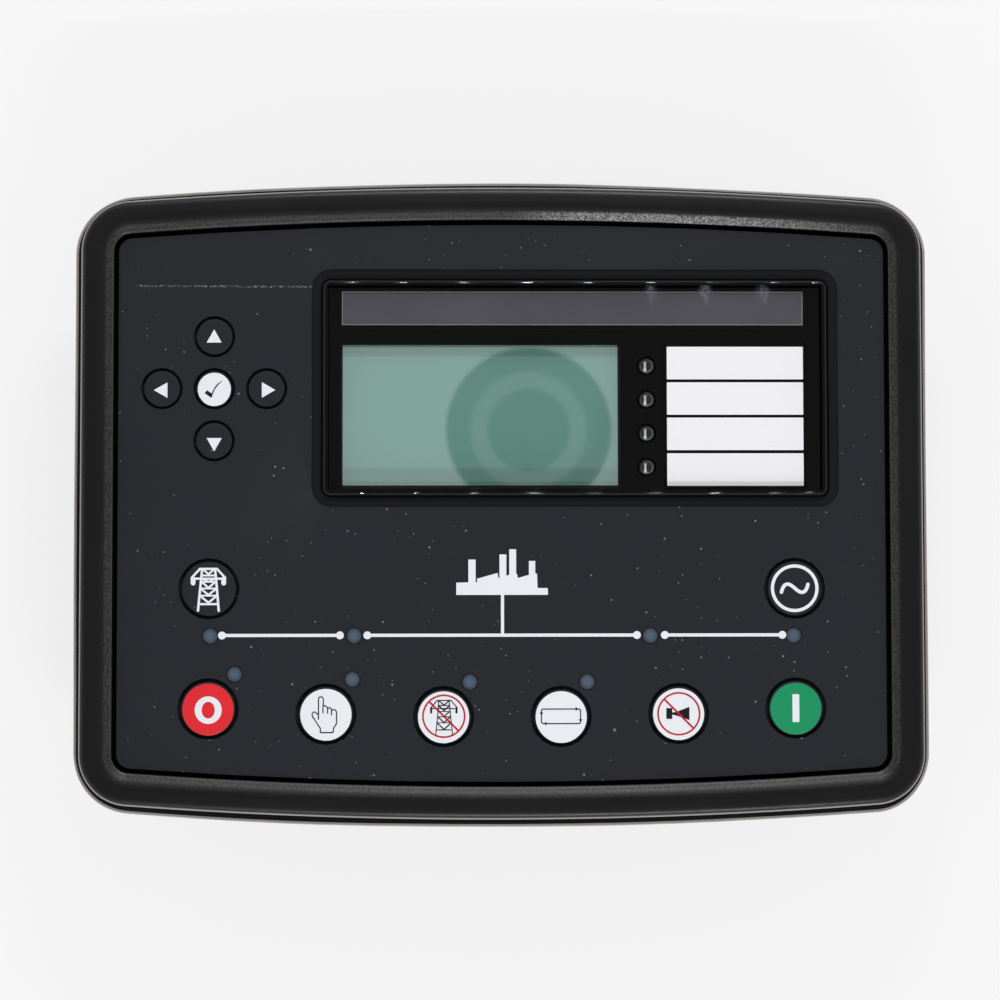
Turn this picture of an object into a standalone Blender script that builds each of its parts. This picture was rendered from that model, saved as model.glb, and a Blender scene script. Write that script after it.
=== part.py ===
"""Panel-mounted genset controller, lying on its back.

A moulded frame with a crowned face holds a keypad fascia, thirteen round keys, eight lamp
windows and a raised display lens. Behind them are the display, two circuit boards and a
rear case with the terminals. The case passes through a panel cut-out and a soft gasket
behind the frame seals against the panel.

Units are metres. +Z points out of the face, +X to its right and +Y to its top. The back of
the case stands on z = 0, and the centre of the face is at x = y = 0.
"""
import math

import bmesh
import bpy
from mathutils import Matrix

MM = 0.001

# Clearances and drawing steps.
FIT = 0.3 * MM
OVERCUT = 0.6 * MM
ROUND_STEPS = 20
SMALL_ROUND_STEPS = 12
CORNER_STEPS = 5
EDGE_STEPS = 8
LENS_EDGE_STEPS = 4

# Front frame, measured at its lip, where the side wall turns into the crowned face.
LIP_WIDTH = 242.0 * MM
LIP_HEIGHT = 181.8 * MM
LIP_CORNER = 14.8 * MM
EDGE_BOW = 1430.0 * MM
FLARE = 1.5 * MM
FACE_BAND = 9.65 * MM
CROWN_RISE = 2.1 * MM
SIDE_WALL = 7.9 * MM
WALL_BASE = 2.4 * MM
CHANNEL_INNER = 6.0 * MM
CHANNEL_ROOF = 2.6 * MM

# Rear case. It stands in from the frame's lip by the two steps, so that it passes a panel
# cut-out 2 mm larger than itself.
CASE_SIDE_STEP = 12.0 * MM
CASE_END_STEP = 11.9 * MM
CASE_WIDTH = LIP_WIDTH - 2 * CASE_SIDE_STEP
CASE_HEIGHT = LIP_HEIGHT - 2 * CASE_END_STEP
CASE_CORNER = 4.0 * MM
CASE_WALL = 2.4 * MM
LEDGE_RISE = 12.0 * MM
LEDGE_SIDE = 12.0 * MM
LEDGE_END = 37.0 * MM
BLOCK_WIDTH = CASE_WIDTH - 2 * LEDGE_SIDE
BLOCK_HEIGHT = CASE_HEIGHT - 2 * LEDGE_END
BLOCK_CORNER = 5.0 * MM
CASE_CHAMFER = 1.0 * MM
LABEL_SIDE = 49.0 * MM
LABEL_END = 16.0 * MM
LABEL_DEPTH = 0.5 * MM
PANEL_SEAT = 38.7 * MM
GASKET_THICKNESS = 2.0 * MM
GASKET_OVERHANG = 2.7 * MM
GASKET_CORNER = 5.0 * MM

# Shelf of the front frame, which carries the fascia and closes the case.
SHELF_SIDE_COVER = 3.5 * MM
SHELF_END_COVER = 4.5 * MM
SHELF_WIDTH = CASE_WIDTH - 2 * SHELF_SIDE_COVER
SHELF_HEIGHT = CASE_HEIGHT - 2 * SHELF_END_COVER
SHELF_CORNER = 12.0 * MM
SHELF_THICKNESS = 2.2 * MM

# Fascia.
GROOVE = 1.25 * MM
FASCIA_THICKNESS = 2.2 * MM
SURROUND_MARGIN = 2.9 * MM
SURROUND_DEPTH = 0.35 * MM

# Keys. They are placed from the opening of the shelf and from each other. The bottom row
# spreads evenly between its outer keys and follows the bow of the lower edge.
KEY_TRAVEL = 1.0 * MM
KEY_GAP = 1.05 * MM
KEY_RADIUS = 7.75 * MM
KEY_COLLAR = 0.6 * MM
KEY_COLLAR_HEIGHT = 1.2 * MM
KEY_EDGE = 0.35 * MM
NAV_KEY_GAP = 0.85 * MM
NAV_KEY_RADIUS = 5.15 * MM
NAV_EDGE_GAP = 1.3 * MM
NAV_KEY_SPACING = 1.8 * MM
NAV_BELOW_LENS_CENTRE = 0.25 * MM
ROW_KEYS = ("stop", "manual", "test", "auto", "mute", "start")
ROW_FROM_SIDE = 37.0 * MM
ROW_EDGE_GAP = 3.6 * MM
ROW_BOW = 1480.0 * MM
TRANSFER_FROM_SIDE = 37.1 * MM
TRANSFER_ABOVE_LAMP = 1.6 * MM

# Lamp windows.
LAMP_RADIUS = 2.15 * MM
LAMP_COLLAR = 0.35 * MM
LAMP_LENGTH = 6.6 * MM
KEY_LAMP_SPACING = 0.48 * MM
KEY_LAMP_ANGLE = math.radians(52.7)
LINE_LAMP_FROM_SIDE = 37.5 * MM
LINE_LAMP_GAP = 41.1 * MM
LINE_LAMPS_ABOVE_ROW = 23.15 * MM

# Display lens, which fills the room that its four gaps leave, and what lies behind it,
# placed from the lens.
LENS_AFTER_NAV = 9.25 * MM
LENS_SIDE_GAP = 9.65 * MM
LENS_TOP_GAP = 8.3 * MM
LENS_ABOVE_KEYS = 16.95 * MM
LENS_CORNER = 2.6 * MM
LENS_RISE = 1.8 * MM
LENS_EDGE = 1.6 * MM
LENS_WALL = 1.2 * MM
LENS_PLATE = 2.0 * MM
LENS_FLANGE = 2.0 * MM
LENS_FLANGE_THICKNESS = 1.4 * MM
CARD_THICKNESS = 0.3 * MM
STRIP_CARD_LEFT = 4.75 * MM
STRIP_CARD_RIGHT = 5.85 * MM
STRIP_CARD_TOP = 2.65 * MM
STRIP_CARD_HEIGHT = 11.8 * MM
ALARM_CARD_WIDTH = 41.0 * MM
ALARM_CARD_RIGHT = 6.15 * MM
ALARM_CARD_TOP = 18.4 * MM
ALARM_CARD_BOTTOM = 2.1 * MM
CARRIER_THICKNESS = 2.8 * MM
ALARM_LED_RADIUS = 2.5 * MM
ALARM_LED_FLANGE = 0.4 * MM
ALARM_LED_FROM_CARD = 5.1 * MM
ALARM_LED_PITCH = 9.75 * MM
LCD_VIEW_LEFT = 6.05 * MM
LCD_VIEW_RIGHT = 60.45 * MM
LCD_VIEW_TOP = 19.35 * MM
LCD_VIEW_BOTTOM = 3.05 * MM
LCD_VIEW_MARGIN = 0.45 * MM
LCD_GLASS_SIDE = 2.45 * MM
LCD_GLASS_END = 2.55 * MM
LCD_GLASS_THICKNESS = 2.2 * MM

# Key mat and display board, which lie behind the opening of the shelf.
BOARD_THICKNESS = 1.6 * MM
FRONT_BOARD_SIDE_GAP = 2.5 * MM
FRONT_BOARD_END_GAP = 1.0 * MM
FRONT_BOARD_CHAMFER = 14.0 * MM
FRONT_BOARD_NOTCH_GAP = 1.2 * MM
MAT_THICKNESS = 1.0 * MM
MAT_INSET = 1.0 * MM
MAT_WINDOW_MARGIN = 1.2 * MM
DOME_RADIUS = 4.2 * MM
NAV_DOME_RADIUS = 3.0 * MM
DOME_TAPER = 0.75
INDICATOR_SIZE = (3.2 * MM, 2.8 * MM, 1.1 * MM)
INDICATOR_HOLE = 2.9 * MM

# Main board, placed from the inside of the case, and what stands on it.
MAIN_BOARD_SIDE_GAP = 11.6 * MM
MAIN_BOARD_END_GAP = 10.1 * MM
MAIN_BOARD_WIDTH = CASE_WIDTH - 2 * (CASE_WALL + MAIN_BOARD_SIDE_GAP)
MAIN_BOARD_HEIGHT = CASE_HEIGHT - 2 * (CASE_WALL + MAIN_BOARD_END_GAP)
MAIN_BOARD_LEVEL = 18.6 * MM
SPACER_RADIUS = 2.9 * MM
SPACER_INSET = (15.0 * MM, 16.5 * MM)
LINK_SIZE = (42.0 * MM, 5.0 * MM)
LINK_CENTRE = (20.0 * MM, -15.0 * MM)
PROCESSOR_SIZE = (20.0 * MM, 20.0 * MM, 1.6 * MM)
PROCESSOR_CENTRE = (-30.0 * MM, 10.0 * MM)
COMPONENT_GAP = 1.0 * MM
RELAY_SIZE = (29.0 * MM, 12.7 * MM)
RELAY_CENTRES = ((-50.0 * MM, 14.0 * MM), (-50.0 * MM, -14.0 * MM))
CAPACITOR_RADIUS = 6.5 * MM
CAPACITOR_CENTRES = ((40.0 * MM, 14.0 * MM), (40.0 * MM, -14.0 * MM))

# Terminal headers, which stand in the two ledges of the case. Each row has as many ways as
# fit between its margins, shared out among its headers.
WAY_PITCH = 5.08 * MM
UPPER_SHARES = {"a": 0.39, "b": 0.36, "c": 0.25}
LOWER_SHARES = {"d": 0.31, "e": 0.31, "f": 0.38}
UPPER_MARGIN = 17.0 * MM
LOWER_MARGIN = 27.0 * MM
HEADER_POST_GAP = 1.8 * MM
HEADER_DEPTH = 12.0 * MM
HEADER_WALL = 1.2 * MM
HEADER_REACH = 12.0 * MM
HEADER_CAVITY = 9.0 * MM
HEADER_GAP = 3.0 * MM
HEADER_CLEARANCE = 0.5 * MM
PIN_SIZE = 1.0 * MM
PIN_LENGTH = 7.2 * MM
PIN_OFFSET = 1.9 * MM
USB_WIDTH = 12.0 * MM
USB_DEPTH = 11.0 * MM
USB_WALL = 0.7 * MM
USB_REACH = 11.0 * MM
USB_CAVITY = 8.8 * MM
USB_TONGUE = (5.6 * MM, 3.2 * MM, 7.0 * MM)

# Fasteners and what they go into, placed from the outside of the case or the main board.
POST_RADIUS = 5.0 * MM
POST_FROM_SIDE = 6.8 * MM
POST_FROM_END = 7.0 * MM
MIDDLE_POST_FROM_END = 6.2 * MM
BOSS_RADIUS = 3.4 * MM
BOSS_LENGTH = 3.2 * MM
BOSS_ROOF = 1.2 * MM
SCREW_RADIUS = 1.4 * MM
SCREW_HEAD_RADIUS = 2.7 * MM
SCREW_HEAD_HEIGHT = 2.0 * MM
COUNTERBORE_DEPTH = 18.0 * MM
BOARD_POST_RADIUS = 3.2 * MM
BOARD_POST_INSET = 7.0 * MM
BOARD_POST_WALL_GAP = 6.6 * MM
BOARD_SCREW_BITE = 6.0 * MM

# Slots in the upper and lower walls of the case.
VENT_WIDTH = 1.8 * MM
VENT_LENGTH = 13.0 * MM
VENT_PITCH = 4.6 * MM
VENT_COUNT = 6
VENT_GROUP_X = 42.0 * MM
VENT_LEVEL = 20.0 * MM
CLIP_SLOT_SIZE = (14.0 * MM, 3.2 * MM)
CLIP_SLOT_FROM_SIDE = 31.0 * MM
CLIP_SLOT_LEVEL = 29.0 * MM

# Levels, worked out from the back of the case to the face.
GASKET_TOP = PANEL_SEAT + GASKET_THICKNESS
FRAME_REAR = GASKET_TOP + FIT
LIP_LEVEL = FRAME_REAR + SIDE_WALL
CREST_LEVEL = LIP_LEVEL + CROWN_RISE
FASCIA_TOP = LIP_LEVEL - 0.7 * MM
FASCIA_REAR = FASCIA_TOP - FASCIA_THICKNESS
SHELF_TOP = FASCIA_REAR - FIT
SHELF_REAR = SHELF_TOP - SHELF_THICKNESS
CASE_RIM = SHELF_REAR - FIT
LEDGE_FLOOR = LEDGE_RISE + CASE_WALL
LENS_TOP = FASCIA_TOP + LENS_RISE
LENS_POCKET_ROOF = LENS_TOP - LENS_PLATE
LENS_FLANGE_TOP = FASCIA_REAR - FIT
LENS_REAR = LENS_FLANGE_TOP - LENS_FLANGE_THICKNESS
CARD_FRONT = LENS_POCKET_ROOF - FIT
CARD_REAR = CARD_FRONT - CARD_THICKNESS
CARRIER_FRONT = CARD_REAR - FIT
CARRIER_REAR = CARRIER_FRONT - CARRIER_THICKNESS
GLASS_FRONT = min(CARRIER_REAR, LENS_REAR) - FIT
GLASS_REAR = GLASS_FRONT - LCD_GLASS_THICKNESS
KEY_REAR = SHELF_TOP - KEY_COLLAR_HEIGHT
DOME_TOP = KEY_REAR - KEY_TRAVEL - FIT
BOSS_REAR = SHELF_REAR - BOSS_LENGTH
POST_TOP = BOSS_REAR - FIT
LAMP_REAR = FASCIA_TOP - LAMP_LENGTH
INDICATOR_TOP = LAMP_REAR - FIT
MAT_REAR = INDICATOR_TOP - INDICATOR_SIZE[2]
MAT_TOP = MAT_REAR + MAT_THICKNESS
FRONT_BOARD_TOP = MAT_REAR - FIT
FRONT_BOARD_LEVEL = FRONT_BOARD_TOP - BOARD_THICKNESS
MAIN_BOARD_TOP = MAIN_BOARD_LEVEL + BOARD_THICKNESS
UNDER_BOARD = MAIN_BOARD_LEVEL - FIT

# Places and sizes that follow from the ones above.
KEY_HOLE = KEY_RADIUS + KEY_GAP
KEY_COLLAR_RADIUS = KEY_HOLE + KEY_COLLAR
NAV_KEY_HOLE = NAV_KEY_RADIUS + NAV_KEY_GAP
NAV_COLLAR_RADIUS = NAV_KEY_HOLE + KEY_COLLAR
LAMP_HOLE = LAMP_RADIUS + FIT
LAMP_COLLAR_RADIUS = LAMP_RADIUS + LAMP_COLLAR
SCREW_HOLE = SCREW_RADIUS + FIT
NAV_PITCH = 2 * NAV_COLLAR_RADIUS + NAV_KEY_SPACING
NAV_X = NAV_EDGE_GAP + NAV_COLLAR_RADIUS + NAV_PITCH - SHELF_WIDTH / 2
ROW_PITCH = (LIP_WIDTH - 2 * ROW_FROM_SIDE) / (len(ROW_KEYS) - 1)
ROW_Y = ROW_EDGE_GAP + KEY_COLLAR_RADIUS - SHELF_HEIGHT / 2
LINE_LAMP_Y = ROW_Y + LINE_LAMPS_ABOVE_ROW
TRANSFER_Y = LINE_LAMP_Y + LAMP_COLLAR_RADIUS + TRANSFER_ABOVE_LAMP + KEY_COLLAR_RADIUS
LENS_LEFT = NAV_X + NAV_PITCH + NAV_COLLAR_RADIUS + LENS_AFTER_NAV
LENS_RIGHT = SHELF_WIDTH / 2 - LENS_SIDE_GAP - LENS_FLANGE
LENS_BOTTOM = TRANSFER_Y + KEY_COLLAR_RADIUS + LENS_ABOVE_KEYS
LENS_UPPER = SHELF_HEIGHT / 2 - LENS_TOP_GAP - LENS_FLANGE
LENS_WIDTH = LENS_RIGHT - LENS_LEFT
LENS_HEIGHT = LENS_UPPER - LENS_BOTTOM
LENS_CENTRE = ((LENS_LEFT + LENS_RIGHT) / 2, (LENS_BOTTOM + LENS_UPPER) / 2)
NAV_CENTRE = (NAV_X, LENS_CENTRE[1] - NAV_BELOW_LENS_CENTRE)
STRIP_CARD_WIDTH = LENS_WIDTH - STRIP_CARD_LEFT - STRIP_CARD_RIGHT
STRIP_CARD_CENTRE = (
    LENS_LEFT + STRIP_CARD_LEFT + STRIP_CARD_WIDTH / 2,
    LENS_UPPER - STRIP_CARD_TOP - STRIP_CARD_HEIGHT / 2,
)
ALARM_CARD_HEIGHT = LENS_HEIGHT - ALARM_CARD_TOP - ALARM_CARD_BOTTOM
ALARM_CARD_CENTRE = (
    LENS_RIGHT - ALARM_CARD_RIGHT - ALARM_CARD_WIDTH / 2,
    LENS_BOTTOM + ALARM_CARD_BOTTOM + ALARM_CARD_HEIGHT / 2,
)
ALARM_LED_X = ALARM_CARD_CENTRE[0] - ALARM_CARD_WIDTH / 2 - ALARM_LED_FROM_CARD
LCD_VIEW_WIDTH = LENS_WIDTH - LCD_VIEW_LEFT - LCD_VIEW_RIGHT
LCD_VIEW_HEIGHT = LENS_HEIGHT - LCD_VIEW_TOP - LCD_VIEW_BOTTOM
LCD_CENTRE = (
    LENS_LEFT + LCD_VIEW_LEFT + LCD_VIEW_WIDTH / 2,
    LENS_BOTTOM + LCD_VIEW_BOTTOM + LCD_VIEW_HEIGHT / 2,
)
LCD_GLASS_WIDTH = LCD_VIEW_WIDTH + 2 * LCD_GLASS_SIDE
LCD_GLASS_HEIGHT = LCD_VIEW_HEIGHT + 2 * LCD_GLASS_END
FRONT_BOARD_WIDTH = SHELF_WIDTH - 2 * FRONT_BOARD_SIDE_GAP
FRONT_BOARD_HEIGHT = SHELF_HEIGHT - 2 * FRONT_BOARD_END_GAP

# Colours, as linear RGB, with roughness and metallic.
FINISHES = {
    "frame_black": ((0.013, 0.013, 0.014), 0.38, 0.0),
    "fascia_grey": ((0.024, 0.025, 0.029), 0.62, 0.0),
    "key_grey": ((0.026, 0.027, 0.031), 0.6, 0.0),
    "key_red": ((0.72, 0.033, 0.04), 0.5, 0.0),
    "key_green": ((0.02, 0.28, 0.12), 0.5, 0.0),
    "key_white": ((0.86, 0.87, 0.88), 0.5, 0.0),
    "lamp_blue_grey": ((0.085, 0.125, 0.165), 0.3, 0.0),
    "lens_clear": ((0.75, 0.78, 0.8), 0.05, 0.0),
    "led_clear": ((0.5, 0.52, 0.53), 0.1, 0.0),
    "card_grey": ((0.07, 0.07, 0.08), 0.6, 0.0),
    "card_white": ((0.9, 0.9, 0.91), 0.6, 0.0),
    "lcd_green": ((0.24, 0.4, 0.33), 0.25, 0.0),
    "backlight_white": ((0.8, 0.82, 0.8), 0.5, 0.0),
    "silicone_grey": ((0.16, 0.15, 0.14), 0.7, 0.0),
    "carrier_black": ((0.01, 0.01, 0.01), 0.5, 0.0),
    "board_green": ((0.01, 0.1, 0.035), 0.4, 0.0),
    "case_black": ((0.014, 0.014, 0.015), 0.55, 0.0),
    "header_green": ((0.02, 0.19, 0.06), 0.5, 0.0),
    "zinc_steel": ((0.6, 0.6, 0.58), 0.35, 1.0),
    "chip_black": ((0.012, 0.012, 0.012), 0.5, 0.0),
}


def fresh_collection(name):
    """A new, empty collection in the scene."""
    group = bpy.data.collections.new(name)
    bpy.context.scene.collection.children.link(group)
    return group


def make_finishes():
    """One Principled material for each row of FINISHES."""
    made = {}
    for name, (colour, roughness, metallic) in FINISHES.items():
        made[name] = bpy.data.materials.new(name)
        made[name].use_nodes = True
        shader = made[name].node_tree.nodes["Principled BSDF"]
        shader.inputs["Base Color"].default_value = (*colour, 1.0)
        shader.inputs["Roughness"].default_value = roughness
        shader.inputs["Metallic"].default_value = metallic
    return made


for leftover in list(bpy.data.objects):
    bpy.data.objects.remove(leftover)
PARTS = fresh_collection("genset_controller")
CUTTERS = fresh_collection("cutters")
MATERIALS = make_finishes()


def add_part(name, mesh, finish, place=(0, 0, 0)):
    """Put a mesh in the scene as one named part of the controller."""
    mesh.materials.clear()
    mesh.materials.append(MATERIALS[finish])
    part = bpy.data.objects.new(name, mesh)
    part.location = place
    PARTS.objects.link(part)
    return part


def reshape(part, operation, mesh):
    """Cut a mesh out of a part, or join it to the part, with a live Boolean."""
    tool = bpy.data.objects.new(mesh.name, mesh)
    tool.hide_render = True
    tool.display_type = "WIRE"
    CUTTERS.objects.link(tool)
    modifier = part.modifiers.new(mesh.name, "BOOLEAN")
    modifier.operation = operation
    modifier.solver = "EXACT"
    modifier.object = tool


def mesh_from(bm, name):
    """Close a bmesh into a mesh whose faces point out."""
    bmesh.ops.recalc_face_normals(bm, faces=bm.faces)
    mesh = bpy.data.meshes.new(name)
    bm.to_mesh(mesh)
    bm.free()
    return mesh


def outline(width, height, corner, bow=0.0, centre=(0, 0), corner_steps=3, edge_steps=1):
    """Points of a rounded rectangle, anticlockwise from its right side.

    bow is the radius of the upper and lower edges, which are straight without it. Each corner
    is an arc that meets the side and the edge without a kink.
    """
    reach = width / 2 - corner
    lean = math.asin(reach / (bow - corner)) if bow else 0.0
    corner_y = height / 2 - corner
    if bow:
        corner_y = height / 2 - bow + (bow - corner) * math.cos(lean)
    half = []
    for step in range(corner_steps + 1):
        angle = (math.pi / 2 - lean) * step / corner_steps
        half.append((reach + corner * math.cos(angle), corner_y + corner * math.sin(angle)))
    middle = []
    for step in range(1, edge_steps):
        share = 1 - 2 * step / edge_steps
        drop = bow * (1 - math.cos(lean * share))
        across = bow * math.sin(lean * share) if bow else reach * share
        middle.append((across, height / 2 - drop))
    upper = half + middle + [(-x, y) for x, y in reversed(half)]
    points = upper + [(-x, -y) for x, y in upper]
    return [(centre[0] + x, centre[1] + y) for x, y in points]


def face_outline(inset):
    """Outline of the crowned face, moved in by inset from the lip."""
    return outline(
        LIP_WIDTH - 2 * inset,
        LIP_HEIGHT - 2 * inset,
        LIP_CORNER - inset,
        EDGE_BOW - inset,
        corner_steps=CORNER_STEPS,
        edge_steps=EDGE_STEPS,
    )


def plain_outline(width, height, corner):
    """Straight-edged outline with as many points as face_outline gives."""
    return outline(width, height, corner, corner_steps=CORNER_STEPS, edge_steps=EDGE_STEPS)


def loft(name, rings, closed=False):
    """Skin over outlines with equal numbers of points, each ring an (outline, level) pair.

    A closed loft joins the last ring to the first, as a frame's section does. Otherwise the
    first and last rings are capped.
    """
    bm = bmesh.new()
    loops = [[bm.verts.new((x, y, level)) for x, y in points] for points, level in rings]
    pairs = list(zip(loops, loops[1:]))
    if closed:
        pairs.append((loops[-1], loops[0]))
    else:
        bm.faces.new(loops[0])
        bm.faces.new(loops[-1])
    for lower, upper in pairs:
        for here in range(len(lower)):
            following = (here + 1) % len(lower)
            bm.faces.new((lower[here], lower[following], upper[following], upper[here]))
    return mesh_from(bm, name)


def plate(name, points, bottom, top):
    """Flat plate from bottom to top, drawn as a filled 2D curve."""
    curve = bpy.data.curves.new(name, "CURVE")
    curve.dimensions = "2D"
    curve.fill_mode = "BOTH"
    curve.extrude = (top - bottom) / 2
    spline = curve.splines.new("POLY")
    spline.points.add(len(points) - 1)
    for point, (x, y) in zip(spline.points, points):
        point.co = (x, y, 0.0, 1.0)
    spline.use_cyclic_u = True
    carrier = bpy.data.objects.new(name, curve)
    PARTS.objects.link(carrier)
    evaluated = carrier.evaluated_get(bpy.context.evaluated_depsgraph_get())
    flat = bpy.data.meshes.new_from_object(evaluated)
    bpy.data.objects.remove(carrier)
    bm = bmesh.new()
    bm.from_mesh(flat)
    bmesh.ops.remove_doubles(bm, verts=bm.verts, dist=0.001 * MM)
    bmesh.ops.translate(bm, verts=bm.verts, vec=(0, 0, (top + bottom) / 2))
    return mesh_from(bm, name)


def boxes(name, blocks):
    """Upright boxes in one mesh, each a (width, depth, centre, bottom, top) tuple."""
    bm = bmesh.new()
    for width, depth, (x, y), bottom, top in blocks:
        place = Matrix.Translation((x, y, (bottom + top) / 2))
        size = Matrix.Diagonal((width, depth, top - bottom, 1.0))
        bmesh.ops.create_cube(bm, size=1.0, matrix=place @ size)
    return mesh_from(bm, name)


def rounds(name, radius, centres, bottom, top, steps=SMALL_ROUND_STEPS, taper=1.0):
    """Upright cylinders or tapered domes in one mesh, one at each centre."""
    bm = bmesh.new()
    for x, y in centres:
        bmesh.ops.create_cone(
            bm,
            cap_ends=True,
            segments=steps,
            radius1=radius,
            radius2=radius * taper,
            depth=top - bottom,
            matrix=Matrix.Translation((x, y, (bottom + top) / 2)),
        )
    return mesh_from(bm, name)


def turned(name, profile, finish, place, steps=ROUND_STEPS):
    """Turned part from (radius, level) points that run down its outside, axis to axis."""
    mesh = bpy.data.meshes.new(name)
    edges = [(here, here + 1) for here in range(len(profile) - 1)]
    mesh.from_pydata([(radius, 0, level) for radius, level in profile], edges, [])
    part = add_part(name, mesh, finish, place)
    screw = part.modifiers.new("turn", "SCREW")
    screw.axis = "Z"
    screw.steps = steps
    screw.render_steps = steps
    screw.use_merge_vertices = True
    screw.merge_threshold = 0.001 * MM
    return part


def four_corners(places):
    """The four points at plus and minus an (x, y) pair."""
    across, up = places
    return [(across, up), (-across, up), (-across, -up), (across, -up)]


def screw_points():
    """Centres of the six screws that hold the case to the frame."""
    across = CASE_WIDTH / 2 - POST_FROM_SIDE
    up = CASE_HEIGHT / 2 - POST_FROM_END
    middle = CASE_HEIGHT / 2 - MIDDLE_POST_FROM_END
    return four_corners((across, up)) + [(0, middle), (0, -middle)]


def board_screw_points():
    """Centres of the four screws that hold the main board."""
    across = MAIN_BOARD_WIDTH / 2 - BOARD_POST_INSET
    return four_corners((across, BLOCK_HEIGHT / 2 - CASE_WALL - BOARD_POST_WALL_GAP))


def row_place(index):
    """Centre of a key of the bottom row, counted from the left."""
    across = (index - (len(ROW_KEYS) - 1) / 2) * ROW_PITCH
    rise = ROW_BOW - math.sqrt(ROW_BOW**2 - across**2)
    return (across, ROW_Y + rise)


def key_table():
    """Name, centre, radius, hole radius, dome radius and finish of each key."""
    x, y = NAV_CENTRE
    transfer_x = LIP_WIDTH / 2 - TRANSFER_FROM_SIDE
    nav = (NAV_KEY_RADIUS, NAV_KEY_HOLE, NAV_DOME_RADIUS)
    large = (KEY_RADIUS, KEY_HOLE, DOME_RADIUS)
    keys = [
        ("key_up", (x, y + NAV_PITCH), *nav, "key_grey"),
        ("key_left", (x - NAV_PITCH, y), *nav, "key_grey"),
        ("key_accept", (x, y), *nav, "key_white"),
        ("key_right", (x + NAV_PITCH, y), *nav, "key_grey"),
        ("key_down", (x, y - NAV_PITCH), *nav, "key_grey"),
        ("key_mains", (-transfer_x, TRANSFER_Y), *large, "key_grey"),
        ("key_generator", (transfer_x, TRANSFER_Y), *large, "key_grey"),
    ]
    tints = {"stop": "key_red", "start": "key_green"}
    for index, name in enumerate(ROW_KEYS):
        finish = tints.get(name, "key_grey")
        keys.append((f"key_{name}", row_place(index), *large, finish))
    return keys


def lamp_table():
    """Name and centre of each lamp window: four in a line, and one by each mode key."""
    outer = LIP_WIDTH / 2 - LINE_LAMP_FROM_SIDE
    inner = outer - LINE_LAMP_GAP
    lamps = [
        ("lamp_mains", (-outer, LINE_LAMP_Y)),
        ("lamp_mains_breaker", (-inner, LINE_LAMP_Y)),
        ("lamp_generator_breaker", (inner, LINE_LAMP_Y)),
        ("lamp_generator", (outer, LINE_LAMP_Y)),
    ]
    away = KEY_COLLAR_RADIUS + LAMP_COLLAR_RADIUS + KEY_LAMP_SPACING
    right = away * math.cos(KEY_LAMP_ANGLE)
    up = away * math.sin(KEY_LAMP_ANGLE)
    for index, name in enumerate(ROW_KEYS[:4]):
        x, y = row_place(index)
        lamps.append((f"lamp_{name}", (x + right, y + up)))
    return lamps


def alarm_led_places():
    """Centres of the alarm lamps, from the top down."""
    count = int(ALARM_CARD_HEIGHT / ALARM_LED_PITCH)
    top = ALARM_CARD_CENTRE[1] + ALARM_LED_PITCH * (count - 1) / 2
    return [(ALARM_LED_X, top - index * ALARM_LED_PITCH) for index in range(count)]


def front_frame():
    """Moulded frame: side wall, crowned face, inner wall, shelf, skirt and rear channel."""
    skirt = plain_outline(
        CASE_WIDTH + 4 * FIT,
        CASE_HEIGHT + 4 * FIT,
        CASE_CORNER + 2 * FIT,
    )
    shelf = plain_outline(SHELF_WIDTH, SHELF_HEIGHT, SHELF_CORNER)
    crest = FACE_BAND / 2
    rings = [
        (face_outline(-FLARE), FRAME_REAR),
        (face_outline(0.0), LIP_LEVEL),
        (face_outline(0.05 * crest), LIP_LEVEL + 0.22 * CROWN_RISE),
        (face_outline(0.17 * crest), LIP_LEVEL + 0.36 * CROWN_RISE),
        (face_outline(0.5 * crest), LIP_LEVEL + 0.74 * CROWN_RISE),
        (face_outline(crest), CREST_LEVEL),
        (face_outline(1.5 * crest), LIP_LEVEL + 0.7 * CROWN_RISE),
        (face_outline(1.9 * crest), LIP_LEVEL + 0.12 * CROWN_RISE),
        (face_outline(FACE_BAND), LIP_LEVEL - 0.1 * CROWN_RISE),
        (face_outline(FACE_BAND), SHELF_TOP),
        (shelf, SHELF_TOP),
        (shelf, SHELF_REAR),
        (skirt, SHELF_REAR),
        (skirt, FRAME_REAR),
        (face_outline(CHANNEL_INNER), FRAME_REAR),
        (face_outline(CHANNEL_INNER), LIP_LEVEL - 0.8 * CHANNEL_ROOF),
        (face_outline(0.8 * crest), CREST_LEVEL - CHANNEL_ROOF),
        (face_outline(0.37 * crest), LIP_LEVEL - 0.5 * CHANNEL_ROOF),
        (face_outline(WALL_BASE - FLARE), FRAME_REAR),
    ]
    frame = add_part("front_frame", loft("front_frame", rings, closed=True), "frame_black")
    spots = screw_points()
    bosses = rounds("frame_bosses", BOSS_RADIUS, spots, BOSS_REAR, SHELF_TOP - FIT, 16)
    reshape(frame, "UNION", bosses)
    roof = SHELF_TOP - BOSS_ROOF
    holes = rounds("frame_screw_holes", SCREW_HOLE, spots, BOSS_REAR - OVERCUT, roof)
    reshape(frame, "DIFFERENCE", holes)


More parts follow.
